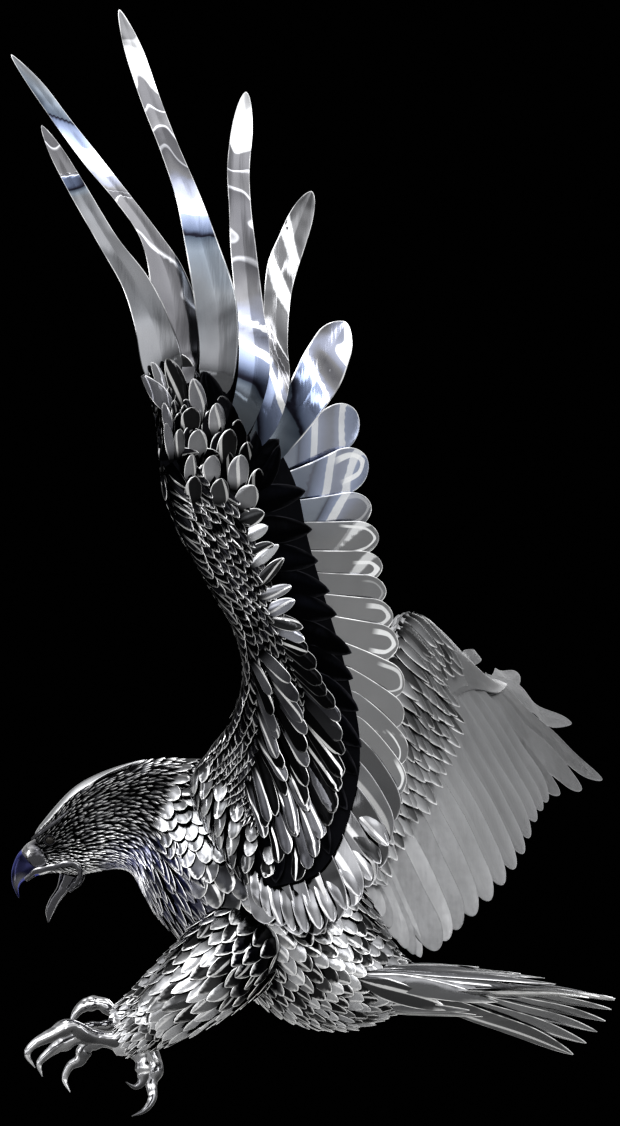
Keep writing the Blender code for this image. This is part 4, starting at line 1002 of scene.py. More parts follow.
def feather_trunk(name, coat, outline, first, last, size, swirl, lift, seed, keep, overlap, spread, tuck,
                  shake):
    """Rows of plates that point along the trunk, and swirl down its sides. keep says which of the rows'
    plates are wanted, overlap how many spacings long each is, and shake how far they stray from their
    places."""
    rows = trunk_rows(first, last, size, spread)
    rows = rows[keep(rows[:, 0], rows[:, 1])]
    count = len(rows)
    place, angle, length, wide, by_place, by_angle = rows.T
    turn = swirl(place) * np.sin(angle) + 0.10 * noise(seed, count)
    run_length = overlap * length * varied(seed + 1, count, 0.10)
    runs = np.stack([run_length * np.cos(turn) / by_place, run_length * np.sin(turn) / by_angle], -1)
    starts = np.stack([place + shake * noise(seed + 5, count) * length / by_place,
                       angle + shake * noise(seed + 6, count) * wide / by_angle], -1)
    half = 0.5 * wide * 1.18 * varied(seed + 2, count, 0.06)
    lean = 0.16 * noise(seed + 4, count)
    clad(name, lay(trunk_face, starts, runs, outline, half, lift, seed + 3, lean, tuck), coat)


def make_trunk():
    """Hull under the feathers, painted near black as the shade between them, slivers on the head and neck
    except under the crown, round scales on the body, and pointed ones on the chest: below a line that rises
    towards the neck."""
    place, angle = grid(np.linspace(0, 1, 90), turns(64))
    tubes("trunk_hull", trunk(place, angle, -0.004)[None], HULL, ("body",))

    def bare(place, angle):
        under_crown = (place > CROWN_SPAN[0]) & (place < CROWN_SPAN[1] - 0.03)
        return ~(under_crown & (np.cos(angle) > math.cos(CROWN_SEEN * 0.85)))

    def on_chest(place, angle):
        return (np.cos(angle) < -0.25 - 1.2 * (place - 0.44)) & (place < CHEST_ENDS)

    def off_chest(place, angle):
        return ~on_chest(place, angle)

    def breast_swirl(place):
        return 0.75 * np.exp(-((place - 0.48) / 0.15) ** 2)

    head_size = (table((0.0, 0.007), (0.08, 0.0095), (0.20, 0.0125), (0.38, 0.017)),
                 table((0.0, 0.014), (0.08, 0.019), (0.20, 0.025), (0.38, 0.031)))
    body_size = (table((0.37, 0.05), (0.45, 0.06), (0.54, 0.082), (0.64, 0.066), (0.74, 0.052), (1.0, 0.044)),
                 table((0.37, 0.04), (0.45, 0.048), (0.54, 0.068), (0.64, 0.06), (0.74, 0.05), (1.0, 0.042)))
    chest_size = (table((0.0, 0.044)), table((0.0, 0.054)))
    feather_trunk("head_and_neck_slivers", SLIVERS, SLIVER, 0.030, 0.385, head_size, table((0.0, 0.10)),
                  lift=(-0.001, 0.014), seed=11, keep=bare, overlap=2.3, spread=0.10, tuck=0.60, shake=0.28)
    feather_trunk("body_scales", SCALES, ROUND_SCALE, NECK_ENDS, 0.99, body_size, breast_swirl,
                  lift=(-0.002, 0.024), seed=21, keep=off_chest, overlap=2.0, spread=0.25, tuck=0.66,
                  shake=0.06)
    feather_trunk("chest_scales", CHEST_PLATES, POINTED_SCALE, NECK_ENDS, CHEST_ENDS, chest_size,
                  table((0.0, 0.20)), lift=(-0.002, 0.022), seed=29, keep=on_chest, overlap=2.4, spread=0.10,
                  tuck=0.60, shake=0.2)


# The legs.


def make_leg(name, line, seed):
    """Feathered leg: a hull painted near black as the shade between its scales, and rows of pointed scales
    round it down to the ankle. Its surface is the centre line plus the radius times a turning side direction."""
    centre_points, radii = [point for point, _ in line], [radius for _, radius in line]

    def shape(place, angle):
        forward = unit(along(centre_points, place + 0.01) - along(centre_points, place - 0.01))
        side = unit(np.cross(forward, UP))
        out = np.cos(angle)[..., None] * side + np.sin(angle)[..., None] * np.cross(side, forward)
        return along(centre_points, place) + level(radii, place)[..., None] * out

    def face(place, angle):
        point, by_place, by_angle = sloped(shape, place, angle)
        normal = unit(np.cross(by_place, by_angle))
        out = point - along(centre_points, place)
        return point, normal * np.sign((normal * out).sum(-1, keepdims=True))

    place, angle = grid(np.linspace(0, 1, 40), turns(40))
    skin = shape(place, angle)
    inwards = unit(along(centre_points, place) - skin)
    tubes(name + "_hull", (skin + 0.005 * inwards)[None], HULL)
    width_at = table((0.0, 0.064), (0.5, 0.056), (0.8, 0.040), (1.0, 0.022))
    length_at = table((0.0, 0.056), (0.5, 0.050), (0.8, 0.038), (1.0, 0.028))
    found = []
    at, row = 0.0, 0
    while at < 1.14:
        by_place = np.linalg.norm(sloped(shape, np.array([at]), np.array([0.0]))[1])
        radius = level(radii, at)
        length = length_at(at)
        count = max(9, round(2 * math.pi * radius / width_at(at)))
        same = (length, 2 * math.pi * radius / count, by_place, radius)
        found.append(np.stack([np.full(count, at), ring_angles(count, row),
                               *(np.full(count, value) for value in same)], -1))
        at += length / by_place
        row += 1
    rows = np.concatenate(found)
    count = len(rows)
    _, _, length, wide, by_place, radius = rows.T
    turn = 0.16 * noise(seed, count)
    reach = 2.0 * length * varied(seed + 1, count, 0.12)
    runs = np.stack([reach * np.cos(turn) / by_place, reach * np.sin(turn) / radius], -1)
    half, lean = 0.5 * wide * 1.2, 0.18 * noise(seed + 3, count)
    plates = lay(face, rows[:, :2], runs, POINTED_SCALE, half, (-0.002, 0.015), seed + 2, lean, 0.60)
    clad(name + "_scales", plates, SCALES)


# The head's plates and beak.


def tube_rings(line, rows, sides, bulge=None):
    """Rings along a smooth line, each a circle of the local radius, times bulge(u, angle) where that is
    given."""
    u = np.linspace(0, 1, rows)
    points = along([point for point, _ in line], u)
    radius = np.maximum(level([radius for _, radius in line], u), THINNEST)
    forward = unit(np.gradient(points, axis=0))
    side = unit(np.cross(forward, UP) + 1e-9)
    up = np.cross(side, forward)
    angle = turns(sides)
    spread = radius[:, None] * (bulge(u[:, None], angle[None, :]) if bulge else np.ones((rows, sides)))
    return (points[:, None] + (spread * np.sin(angle))[..., None] * side[:, None]
            + (spread * np.cos(angle))[..., None] * up[:, None])


def horn(name, sections, profile, coat, nodes=(), rows=56, sides=36):
    """Beak piece: its section, scaled by the width and depth of each place, carried along a curve. The
    profile is the right half of the section from ridge to mouth, as (across, out) points. Ridge and mouth
    edge shine."""
    outer, inner, half_width = edges_and_width(sections, np.linspace(0, 1, rows))
    half = along(profile, np.linspace(0, 1, sides // 2 + 1))
    edge = np.concatenate([half, (half * (-1, 1))[-2:0:-1]])
    sideways = (edge[None, :, 0] * half_width[:, None])[..., None] * -LEFT
    rings = 0.5 * (outer + inner)[:, None] + edge[None, :, 1:] * 0.5 * (outer - inner)[:, None] + sideways
    ridge = smooth((edge[:, 1] - 0.70) / 0.3) + 0.9 * (np.abs(edge[:, 1] + 1.0) < 0.12)
    tubes(name, rings[None], coat, nodes,
          spread_marks(rings.shape[:2], rim=0.8 * ridge), SOFT_CRISP)


def mirrored(line):
    """The same line on the other side of the bird."""
    return tuple(((x, -y, z), radius) for (x, y, z), radius in line)


def make_head():
    """Crown shell, brows, cere, edge of the mouth and both halves of the beak."""
    place, across = grid(np.linspace(*CROWN_SPAN, 40), np.linspace(-1, 1, 26))
    taper = table((CROWN_SPAN[0], 0.80), (0.10, 1.0), (0.20, 0.85), (CROWN_SPAN[1], 0.10))(place)
    angle = across * CROWN_SEEN * taper
    top = trunk(place, angle, 0.018 - 0.006 * across**6)
    under = trunk(place, angle, 0.004)[:, ::-1]
    # Painted highlight along the crown's side edges.
    rim = np.concatenate([np.abs(across) ** 24, 0 * across], axis=1)
    tubes("crown_shell", np.concatenate([top, under], axis=1)[None], CROWN, ("crown_plate",),
          {"rim": rim})
    horn("upper_beak_horn", UPPER_BEAK, HOOK, BLUED, ("upper_beak",))
    horn("lower_beak_horn", LOWER_BEAK, TROUGH, FACE, ("lower_beak",))
    horn("cere", CERE, [(math.sin(a), math.cos(a)) for a in np.linspace(0, math.pi, 9)], FACE)

    def fleshy(u, angle):
        return 0.72 + 0.10 * np.sin(46 * u + 2 * angle) * smooth(u / 0.1)

    edges = np.stack([tube_rings(line, 80, 14, fleshy) for line in (GAPE, mirrored(GAPE))])
    # Painted highlight along the upper side of each mouth edge.
    light = smooth((np.cos(turns(14) - 0.3) - 0.45) / 0.4)
    tubes("mouth_edges", edges, FACE, marks=spread_marks(edges.shape[:3], rim=0.9 * light),
          crisp=SOFT_CRISP)
    brows = np.stack([tube_rings(line, 40, 12) for line in (BROW, mirrored(BROW))])
    tubes("brows", brows, FACE, crisp=SOFT_CRISP)


def make_eyes():
    """Dark eyeballs, rings from pole to pole, each in a lid: a ring whose centre runs round the eye."""
    x, y, z = EYE_SPOT
    spots = np.array(((x, -y, z), (x, y, z)))[:, None, None]
    down, about = grid(np.linspace(0.02, math.pi - 0.02, 16), turns(20))
    ball = np.stack([np.sin(down) * np.cos(about), np.sin(down) * np.sin(about), np.cos(down)], -1)
    tubes("eyes", spots + EYE_RADII * ball, EYE)
    turn, about = grid(turns(41, True), turns(10))
    reach = LID_RADIUS + 0.0045 * np.cos(about)
    lid = np.stack([reach * np.cos(turn), 0.006 * np.sin(about), 0.88 * reach * np.sin(turn)], -1)
    tubes("eyelids", spots + lid, EYELID, crisp=SOFT_CRISP)


# The feet.


def make_foot(name, leg, toes):
    """Toes: tubes whose upper side steps in broad shields and whose joints swell, then a smooth talon. A
    palm joins them to the shank."""
    def toe(u, angle):
        bone = 1 - smooth((u - TALON_STARTS) / 0.05)
        joints = 0.09 * np.cos(2 * math.pi * (u * JOINTS - 0.1))
        pads = 0.05 * np.cos(2 * math.pi * u * JOINTS) * np.clip(-np.cos(angle), 0, 1)
        collar = 0.12 * np.exp(-(((u - TALON_STARTS) / 0.030) ** 2))
        return 0.92 + bone * (joints + pads) + collar

    rings = np.stack([tube_rings(line, 120, 20, toe) for line in toes])
    u, angle = np.linspace(0, 1, 120), turns(20)
    # Painted highlight in bands along the upper side of each toe, and painted shade on its underside through
    # the tuck mark.
    over = np.cos(angle - 0.5)
    shine = smooth((over - 0.55) / 0.35) * (0.55 + 0.45 * np.cos(2 * math.pi * u * 12.8))[:, None]
    marks = spread_marks(rings.shape[:3], rim=0.85 * shine, tuck=0.55 * smooth((-over - 0.15) / 0.5),
                         tone=noise(77, (len(toes), 1, 1), 0.3, 1.0), run=u[:, None],
                         side=0.4 * np.cos(angle))
    tubes(name + "_toes", rings, TALON, (name,), marks, 50.0)
    ankle, radius = np.array(leg[-1][0]), leg[-1][1]
    forward = unit(ankle - np.array(leg[-2][0]))
    palm = np.mean([line[0][0] for line in toes], axis=0)
    shank = ((ankle - 0.05 * forward, radius * 0.70), (ankle + 0.01 * forward, radius * 0.66),
             (palm, radius * 0.80), (palm + 0.05 * forward, radius * 0.40))
    rings = tube_rings(shank, 40, 24, lambda u, angle: 1 + 0.04 * np.cos(9 * angle) * np.sin(40 * u))
    tubes(name + "_palm", rings[None], TALON, crisp=50.0)


# The wings.


class Wing:
    """Middle surface of a wing: straight across from the leading edge to the edge of the coverts.
    lower_side is the sign that turns its normal to the lower side, and taper how far the arm thins at its
    edges."""

    def __init__(self, lead, edge, lower_side, taper):
        self.lead = lead
        self.edge = edge
        self.lower_side = lower_side
        self.taper = taper

    def place(self, t, across):
        """Point at t along the wing and a share of the way across it."""
        lead, edge = along(self.lead, t), along(self.edge, t)
        return lead + np.asarray(across, float)[..., None] * (edge - lead)

    def normal(self, t):
        """Direction out of the lower side: across both the wing's run and its chord."""
        run = self.place(t + 0.02, 0.5 + 0 * t) - self.place(t - 0.02, 0.5 + 0 * t)
        return self.lower_side * unit(np.cross(run, along(self.edge, t) - along(self.lead, t)))

    def chord(self, t):
        """Width of the wing at t."""
        return lengths(along(self.edge, t) - along(self.lead, t))

    def pace(self, t, across):
        """How far the wing goes for a step of one in t."""
        return lengths(self.place(t + 1e-3, across) - self.place(t - 1e-3, across)) / 2e-3

    def swell(self, t, across):
        """Half thickness of the arm: a flattened arch with a round nose at the leading edge."""
        root, hand = ARM_HALF_THICKNESS
        thick = root + (hand - root) * np.minimum(1, 1.3 * t)
        arch = thick * np.sqrt(np.clip(1 - (across - 0.22) ** 2 / 0.6, 0, 1))
        nose = np.sqrt(np.clip(1 - (1 - np.clip(across, 0, 0.12) / 0.12) ** 2, 0, 1))
        return np.maximum(arch, SLOT_HALF_HEIGHT + TINE) * nose * self.thin(t, across)

    def thin(self, t, across):
        """How far the arm thins towards the edge of the coverts and the end of the hand."""
        return 1 - self.taper * np.maximum(smooth((across - 0.45) / 0.5), smooth((t - 0.86) / 0.12))

    def skin(self, side):
        """The arm's face on its lower side (1) or upper side (-1), as a surface for plates."""
        def surface(t, across):
            return self.place(t, across) + (side * (self.swell(t, across) - SUNK))[..., None] * self.normal(t)

        def face(t, across):
            point, by_t, by_across = sloped(surface, t, across)
            normal = unit(np.cross(by_t, by_across))
            return point, normal * (np.sign((normal * self.normal(t)).sum(-1, keepdims=True)) * side)

        return face

    def round_nose(self, side):
        """The arm's skin round the leading edge. Its second parameter is w: across is w squared, and the
        sign of w says which face, positive for the given side."""
        def surface(t, w):
            rise = np.sign(w + 1e-9) * side * (self.swell(t, w * w) - SUNK)
            return self.place(t, w * w) + rise[..., None] * self.normal(t)

        middle, low = np.array([0.5]), np.array([0.0])
        _, by_t, by_w = sloped(surface, middle, low)
        out = np.sign((np.cross(by_t, by_w) * (self.place(middle, low) - self.place(middle, low + 1))).sum())

        def face(t, w):
            point, by_t, by_w = sloped(surface, t, w)
            return point, out * unit(np.cross(by_t, by_w))

        return face


def make_arm(name, wing, node, coat, rows=70, columns=22):
    """Forked aerofoil along the wing, under its coverts: its section runs over one face, back along the
    slot for the feather roots, out again and over the other face."""
    t = np.linspace(0, 1, rows)
    share = np.broadcast_to(1 - np.cos(np.linspace(0, math.pi / 2, columns)), (rows, columns))
    opened = smooth((t - SLOT_OPENS_AT) / (1 - SLOT_OPENS_AT))
    back = np.stack([np.full(rows, 0.995), SLOT_START[0] + (SLOT_START[1] - SLOT_START[0]) * opened], -1)

    def at(across, height):
        return wing.place(t[:, None] + 0 * across, across) + height[..., None] * wing.normal(t)[:, None]

    halves = []
    for sign in (1, -1):
        over = sign * (wing.swell(t[:, None], share) - 0.006 * wing.thin(t[:, None], share))
        inside = sign * (SLOT_HALF_HEIGHT - 0.004) * wing.thin(t[:, None], back)
        halves.append(np.concatenate([at(share, over), at(back, inside)], axis=1))
    rings = np.concatenate([halves[0], halves[1][:, :0:-1]], axis=1)
    tubes(name, rings[None], coat, (node,))


def staggered(wing, rows, t_range, spacing, line, samples):
    """Roots of plates in rows along the wing, each row half a spacing off the last, as (t, across) pairs.
    rows gives each row's place across, spacing is a function of t, and line is where across it is
    measured."""
    fine = np.linspace(*t_range, samples)
    rate = wing.pace(fine, line + 0 * fine) / spacing(fine)
    length = np.concatenate([[0], np.cumsum(0.5 * (rate[1:] + rate[:-1]) * np.diff(fine))])
    found = []
    for row, across in enumerate(rows):
        t = np.interp(np.arange(0.5 * (row % 2), length[-1], 1.0), length, fine)
        found.append(np.stack([t, np.full(len(t), across)], -1))
    return np.concatenate(found)


def covert_rows(name, wing, side, coat, outline, rows, t_range, spacing, reach, sweep, lift, seed,
                overlap=1.25, tuck=0.45):
    """Rows of plates on the lower (1) or upper (-1) side of the arm. rows is a list of shares across;
    spacing, reach and sweep are functions of t: how far apart they stand, how long they are, and how far
    they turn towards the hand."""
    starts = staggered(wing, rows, t_range, spacing, 0.4, 400)
    count = len(starts)
    t = starts[:, 0] + 0.0015 * noise(seed, count)
    turn = sweep(t) + 0.06 * noise(seed + 1, count)
    size = reach(t) * varied(seed + 2, count, 0.08)
    along_wing, across = size * np.sin(turn) / wing.pace(t, starts[:, 1]), size * np.cos(turn) / wing.chord(t)
    runs = np.stack([along_wing, across], -1)
    half, lean = 0.5 * spacing(t) * overlap, 0.10 * noise(seed + 4, count)
    clad(name, lay(wing.skin(side), starts, runs, outline, half, lift, seed + 3, lean, tuck), coat)


def placed(name, wing, coat, outline, starts, ends, count, widths, lift, seed):
    """Plates on the arm's lower face from given roots to given tips, read off splines at even shares."""
    share = np.linspace(0, 1, count)
    half = 0.5 * np.interp(share, np.linspace(0, 1, len(widths)), widths) * varied(seed, count, 0.10)
    roots = along(starts, share) + 0.006 * noise(seed + 1, (count, 2))
    tips = along(ends, share) + 0.012 * noise(seed + 2, (count, 2))
    lean = 0.14 * noise(seed + 4, count)
    clad(name, lay(wing.skin(1), roots, tips - roots, outline, half, lift, seed + 3, lean, 0.45), coat)


def leaves(name, wing, coat, outline, rows, lift, seed, lean=0.0, tuck=0.35, stretch=1.0):
    """Plates on the arm's lower face, each with its own root, tip and width."""
    roots, tips, widths = (np.array(column) for column in zip(*rows))
    runs = (tips - roots) * stretch
    clad(name, lay(wing.skin(1), roots, runs, outline, 0.5 * widths, lift, seed, lean, tuck), coat)


def nose_row(name, wing, coat, t_range, spacing, reach, lift, seed):
    """Small scales that wrap round the leading edge, in rows at places w on its round skin. They point
    towards the body as far as the wrist, and beyond it to the end of the hand."""
    face = wing.round_nose(1)
    starts = staggered(wing, NOSE_ROWS, t_range, table((0.0, spacing)), 0.0, 300)
    count = len(starts)
    _, by_t, by_w = sloped(lambda t, w: face(t, w)[0], *starts.T)
    size = reach * varied(seed, count, 0.1)
    turn = 0.35 * noise(seed + 1, count)
    heading = np.where(starts[:, 0] > WRIST, 1, -1)
    runs = np.stack([heading * size * np.cos(turn) / lengths(by_t), size * np.sin(turn) / lengths(by_w)], -1)
    lean = 0.1 * noise(seed + 3, count)
    clad(name, lay(face, starts, runs, SMALL_SCALE, 0.45 * spacing, lift, seed + 2, lean, 0.45), coat)


def make_left_coverts(wing):
    """Everything that clothes the near wing's arm, from the leading edge to the dark row that overhangs the
    feather roots, and the plainer rows of its hidden upper side."""
    sweep = table((0.0, 0.10), (0.12, -0.08), (0.30, -0.40), (0.5, -0.25), (0.70, 0.10), (0.78, 0.45),
                  (0.85, 1.0), (0.92, 1.25), (1.0, 1.10))
    dark_sweep = table((0.0, -0.10), (0.12, -0.25), (0.30, -0.42), (0.5, -0.22), (0.74, 0.10), (0.80, 0.40),
                       (0.85, 0.75), (0.92, 1.05), (1.0, 1.10))
    small_sweep = table((0.0, -0.3), (0.1, -0.5), (0.2, -0.9), (0.3, -1.15), (0.5, -1.32), (0.70, -1.30),
                        (0.78, -1.1), (0.82, -0.8))
    small_size = table((0.0, 0.022), (0.16, 0.025), (0.30, 0.036), (0.60, 0.040), (0.82, 0.048))
    small_reach = table((0.0, 0.055), (0.16, 0.062), (0.30, 0.085), (0.60, 0.090), (0.82, 0.105))

    def half_chord(t):
        return 0.50 * wing.chord(t) + 0.02

    def dark_reach(t):
        return half_chord(t) + 0.06 * smooth((t - 0.7) * 5) - 0.07 * smooth((0.3 - t) * 5)

    nose_row("left_nose_scales", wing, COVERTS, (0.10, 0.97), 0.044, 0.085, (-0.002, 0.009), 25)
    covert_rows("left_small_coverts", wing, 1, COVERTS, SMALL_SCALE, np.linspace(0.008, 0.46, 8),
                (0.20, 0.80), small_size, small_reach, small_sweep, lift=(-0.001, 0.020), seed=31,
                overlap=1.0, tuck=0.80)
    covert_rows("left_shoulder_slivers", wing, 1, COVERTS, NARROW_SCALE, np.linspace(0.0, 0.56, 15),
                (0.165, 0.28), table((0.0, 0.019), (0.3, 0.024)), table((0.0, 0.050), (0.3, 0.065)),
                table((0.0, -0.3), (0.1, -0.6), (0.25, -1.0)), lift=(0.004, 0.024), seed=33, tuck=0.60)
    covert_rows("left_wrist_coverts", wing, 1, COVERTS, SMALL_SCALE, (0.04, 0.13, 0.22), (0.73, 0.97),
                table((0.0, 0.046)), table((0.0, 0.100), (1.0, 0.110)),
                table((0.73, -1.25), (0.84, -1.15), (0.88, 1.2), (1.0, 1.2)), lift=(0.000, 0.022), seed=35,
                overlap=0.90, tuck=0.70)
    covert_rows("left_hand_under_coverts", wing, 1, COVERTS, HAND_COVERT, (0.20, 0.42, 0.62), (0.76, 0.93),
                table((0.0, 0.095)), table((0.0, 0.17), (1.0, 0.15)),
                table((0.0, 1.0), (0.9, 1.15), (1.0, 1.2)), lift=(0.004, 0.022), seed=39, overlap=0.80,
                tuck=0.40)
    leaves("left_hand_coverts", wing, HAND, HAND_COVERT, HAND_LEAVES, (0.012, 0.040), 41,
           0.12 * noise(42, len(HAND_LEAVES)), 0.40, 1.05)
    leaves("left_dark_leaves", wing, DARK, LEAF_COVERT, DARK_LEAVES, (0.008, 0.022), 45)
    placed("left_bright_coverts", wing, BRIGHT, HAND_COVERT, BRIGHT_ROOTS, BRIGHT_TIPS, 9,
           (0.060, 0.050, 0.060), lift=(0.012, 0.036), seed=51)
    placed("left_elbow_outer_coverts", wing, ELBOW, FINGER, OUTER_ROOTS, OUTER_TIPS, 17,
           (0.062, 0.066, 0.054), lift=(0.012, 0.034), seed=161)
    placed("left_elbow_middle_coverts", wing, ELBOW, FINGER, MIDDLE_ROOTS, MIDDLE_TIPS, 13,
           (0.050, 0.056, 0.050), lift=(0.018, 0.046), seed=167)
    placed("left_elbow_inner_coverts", wing, ELBOW, FINGER, INNER_ROOTS, INNER_TIPS, 12,
           (0.038, 0.046, 0.040), lift=(0.020, 0.056), seed=173)
    covert_rows("left_shoulder_scales", wing, 1, SCALES, ROUND_SCALE, np.linspace(0.04, 0.80, 10),
                (0.0, 0.168), table((0.0, 0.050)), table((0.0, 0.080), (0.2, 0.085)),
                table((0.0, -0.35), (0.2, -0.50)), lift=(0.012, 0.034), seed=37, overlap=1.12, tuck=0.66)
    covert_rows("left_dark_coverts", wing, 1, DARK, LEAF_COVERT, (0.50,), (0.13, 0.91),
                table((0.0, 0.088), (0.5, 0.098), (1.0, 0.100)), dark_reach, dark_sweep, lift=(0.004, 0.020),
                seed=61, overlap=1.14)
    covert_rows("left_upper_coverts", wing, -1, SCALES, ROUND_SCALE, np.linspace(0.04, 0.52, 6),
                (0.06, 0.98), table((0.0, 0.042), (1.0, 0.050)), table((0.0, 0.12), (1.0, 0.11)), sweep,
                lift=(0.000, 0.015), seed=71)
    covert_rows("left_upper_long_coverts", wing, -1, BRIGHT, LONG_COVERT, (0.55,), (0.05, 0.99),
                table((0.0, 0.072), (1.0, 0.078)), half_chord, sweep, lift=(0.004, 0.012), seed=81,
                overlap=1.3)


def make_flank_plates():
    """Leaf-shaped plates that hang below the wing's coverts, over the roots of the tertials, bowed
    outwards."""
    share = np.linspace(0, 1, FLANK_COUNT)
    starts, ends = along(FLANK_TOPS, share), along(FLANK_TIPS, share)
    u = LONG_COVERT.u
    middle = starts[:, None] + u[None, :, None] * (ends - starts)[:, None]
    middle = middle + (0.02 * np.sin(math.pi * u))[None, :, None] * LEFT
    facing = np.broadcast_to(LEFT, middle.shape)
    clad("left_flank_plates", LONG_COVERT.plates(middle, facing, 0.5 * FLANK_WIDTH, 601, 0.25, 0.5), FLANK)


def make_right_sheet(wing):
    """Smooth skin over the outer part of the far wing: the arm's upper face, doubled by a thin wall."""
    point, normal = wing.round_nose(-1)(*grid(np.linspace(0.46, 1.0, 60), np.linspace(-0.35, 1.0, 70)))
    wall = np.concatenate([point + 0.005 * normal, (point - 0.003 * normal)[:, ::-1]], axis=1)
    tubes("right_arm_sheet", wall[None], SATIN)


def make_right_coverts(wing):
    """Pointed coverts near the body and on the smooth hand of the far wing's upper side, and the plain rows
    of its lower side."""
    make_right_sheet(wing)
    nose_row("right_nose_scales", wing, SATIN, (0.10, 0.80), 0.055, 0.10, (-0.002, 0.008), 125)
    sweep = table((0.0, -0.10), (0.5, 0.05), (0.78, 0.15), (0.90, 0.50), (1.0, 0.95))
    covert_rows("right_small_coverts", wing, -1, POINTED, LEAF_COVERT, np.linspace(0.0, 0.70, 7),
                (0.06, 0.66), table((0.0, 0.060), (1.0, 0.075)), table((0.0, 0.20), (1.0, 0.22)), sweep,
                lift=(0.004, 0.040), seed=131)
    covert_rows("right_hand_coverts", wing, -1, POINTED, LEAF_COVERT, (0.02, 0.12, 0.22, 0.32), (0.64, 0.77),
                table((0.0, 0.060), (1.0, 0.065)), table((0.0, 0.20)), sweep, lift=(0.008, 0.034), seed=137)
    covert_rows("right_lower_coverts", wing, 1, SCALES, ROUND_SCALE, np.linspace(0.12, 0.52, 5),
                (0.08, 0.98), table((0.0, 0.042), (1.0, 0.050)), table((0.0, 0.11)), sweep,
                lift=(0.000, 0.015), seed=151)
    covert_rows("right_lower_long_coverts", wing, 1, DARK, LONG_COVERT, (0.55,), (0.06, 0.86),
                table((0.0, 0.072), (1.0, 0.078)), lambda t: 0.47 * wing.chord(t), sweep,
                lift=(0.014, 0.022), seed=161, overlap=1.3)


# Long feathers.


def vanes(name, lines, sides, half, outline, coat, nodes, seed, lean=-FEATHER_LEAN, wave=0.004,
          bands=()):
    """Long feathers: a creased sheet on each smooth midline, leaning over its neighbour. A slow wave of the
    given height runs along it: wave sin(2 pi (cycles u + phase)). bands gives each feather a slant and
    which place in the cycle of painted reflections it shows at each u: a line through those points at u +
    slant s."""
    u = outline.u
    middle = np.stack([even(line, u) for line in lines])
    direction = unit(np.gradient(middle, axis=1))
    sideways = np.asarray(sides)[:, None, :]
    sideways = sideways - (direction * sideways).sum(-1, keepdims=True) * direction
    normal = np.cross(unit(sideways), direction)
    cycles = noise(seed, (len(middle), 1), 1.4, 2.6)
    phase = noise(seed + 1, (len(middle), 1), 0.0, 1.0)
    ripple = wave * np.sin(2 * math.pi * (cycles * u + phase)) * smooth(u / 0.25)
    middle = middle + ripple[..., None] * normal + 0.5 * SHEET * normal
    rings, marks = outline.plates(middle, normal, half, seed + 2, lean, 0.30, SHEET)
    if bands:
        plates = zip(marks["run"], marks["side"], bands)
        marks["bands"] = np.stack([np.interp(run + slant * side, *np.array(points, float).T)
                                   for run, side, (slant, *points) in plates])
    tubes(name, rings, coat, nodes, marks)


def fan_sides(roots, tips):
    """Sideways direction of each feather in a fan, from its neighbours."""
    sides = unit(np.gradient(0.5 * (roots + tips), axis=0))
    sides[0], sides[-1] = sides[1], sides[-2]
    return sides


def make_primaries(side_name, wing, rows, coats, facing, roots_wide, tips_begin):
    """The six long feathers of the hand, each on a smooth line through its points with its own widths.
    coats are the finishes of the first three and of the rest. facing below 1 turns them to lie flatter to
    the left and right. roots_wide and tips_begin say how wide each starts and where its tip begins to
    narrow."""
    roots = np.array([wing.place(*map(np.array, row[0])) for row in rows])
    sides = unit(fan_sides(roots, np.array([row[1][-1][:3] for row in rows])) * (1.0, facing, 1.0))
    for k, ((_, points), root, bands) in enumerate(zip(rows, roots, PRIMARY_BANDS)):
        shape = Outline(100, VANE_SECTION, roots_wide[k], tips_begin[k], p=2.0, q=1.8, dome=0.0, crease=0.10,
                        rim=0.08, cup=0.10, slender=12.0)
        line = np.array([(*root, 0.55 * points[0][3]), *points])
        shape.half = shape.half * even(line, shape.u)[:, 3]
        vanes(f"{side_name}_primary_vane_{k + 1}", [line[:, :3]], [sides[k]], 0.5, shape, coats[k > 2],
              (f"{side_name}_primary_{k + 1}",), 207 + 7 * k, wave=0.006, bands=(bands,))


def flight_lines(wing, tips, count, span):
    """Midlines of feathers that leave the slot along the wing, then bend to their tips: a curve of Bezier's
    kind through root, control point and tip."""
    share = np.linspace(0, 1, count)
    t = np.interp(share, np.linspace(0, 1, len(span)), span)
    tip = along(tips, share)
    root = wing.place(t, np.full(count, ROOT_ACROSS))
    reach = lengths(tip - root)[:, None]
    straight = np.clip(4 * (t - 0.60), 0, 0.7)[:, None]
    across = unit(wing.place(t, np.ones(count)) - root)
    control = root + 0.45 * reach * unit((1 - straight) * across + straight * unit(tip - root))
    u = np.linspace(0, 1, 7)[:, None, None]
    lines = (1 - u) ** 2 * root + 2 * u * (1 - u) * control + u**2 * tip
    return np.swapaxes(lines, 0, 1)


def make_secondaries(side_name, wing, tips, span, widths, coat, bands=()):
    """The flight feathers of the forearm, as paddles with rounded tips."""
    lines = flight_lines(wing, tips, SECONDARY_COUNT, span)
    shape = Outline(60, VANE_SECTION, root=0.50, tip_begins=0.78, p=2.1, q=1.9, dome=0.0, crease=0.08,
                    rim=0.055, cup=0.14, slender=5.0)
    share = np.linspace(0, 1, SECONDARY_COUNT)
    half = 0.5 * np.interp(share, np.linspace(0, 1, len(widths)), widths)
    nodes = tuple(f"{side_name}_secondary_{k}" for k in range(1, SECONDARY_COUNT + 1))
    vanes(f"{side_name}_secondary_vanes", lines, fan_sides(lines[:, 0], lines[:, -1]), half, shape, coat,
          nodes, 300, wave=0.003, bands=bands)


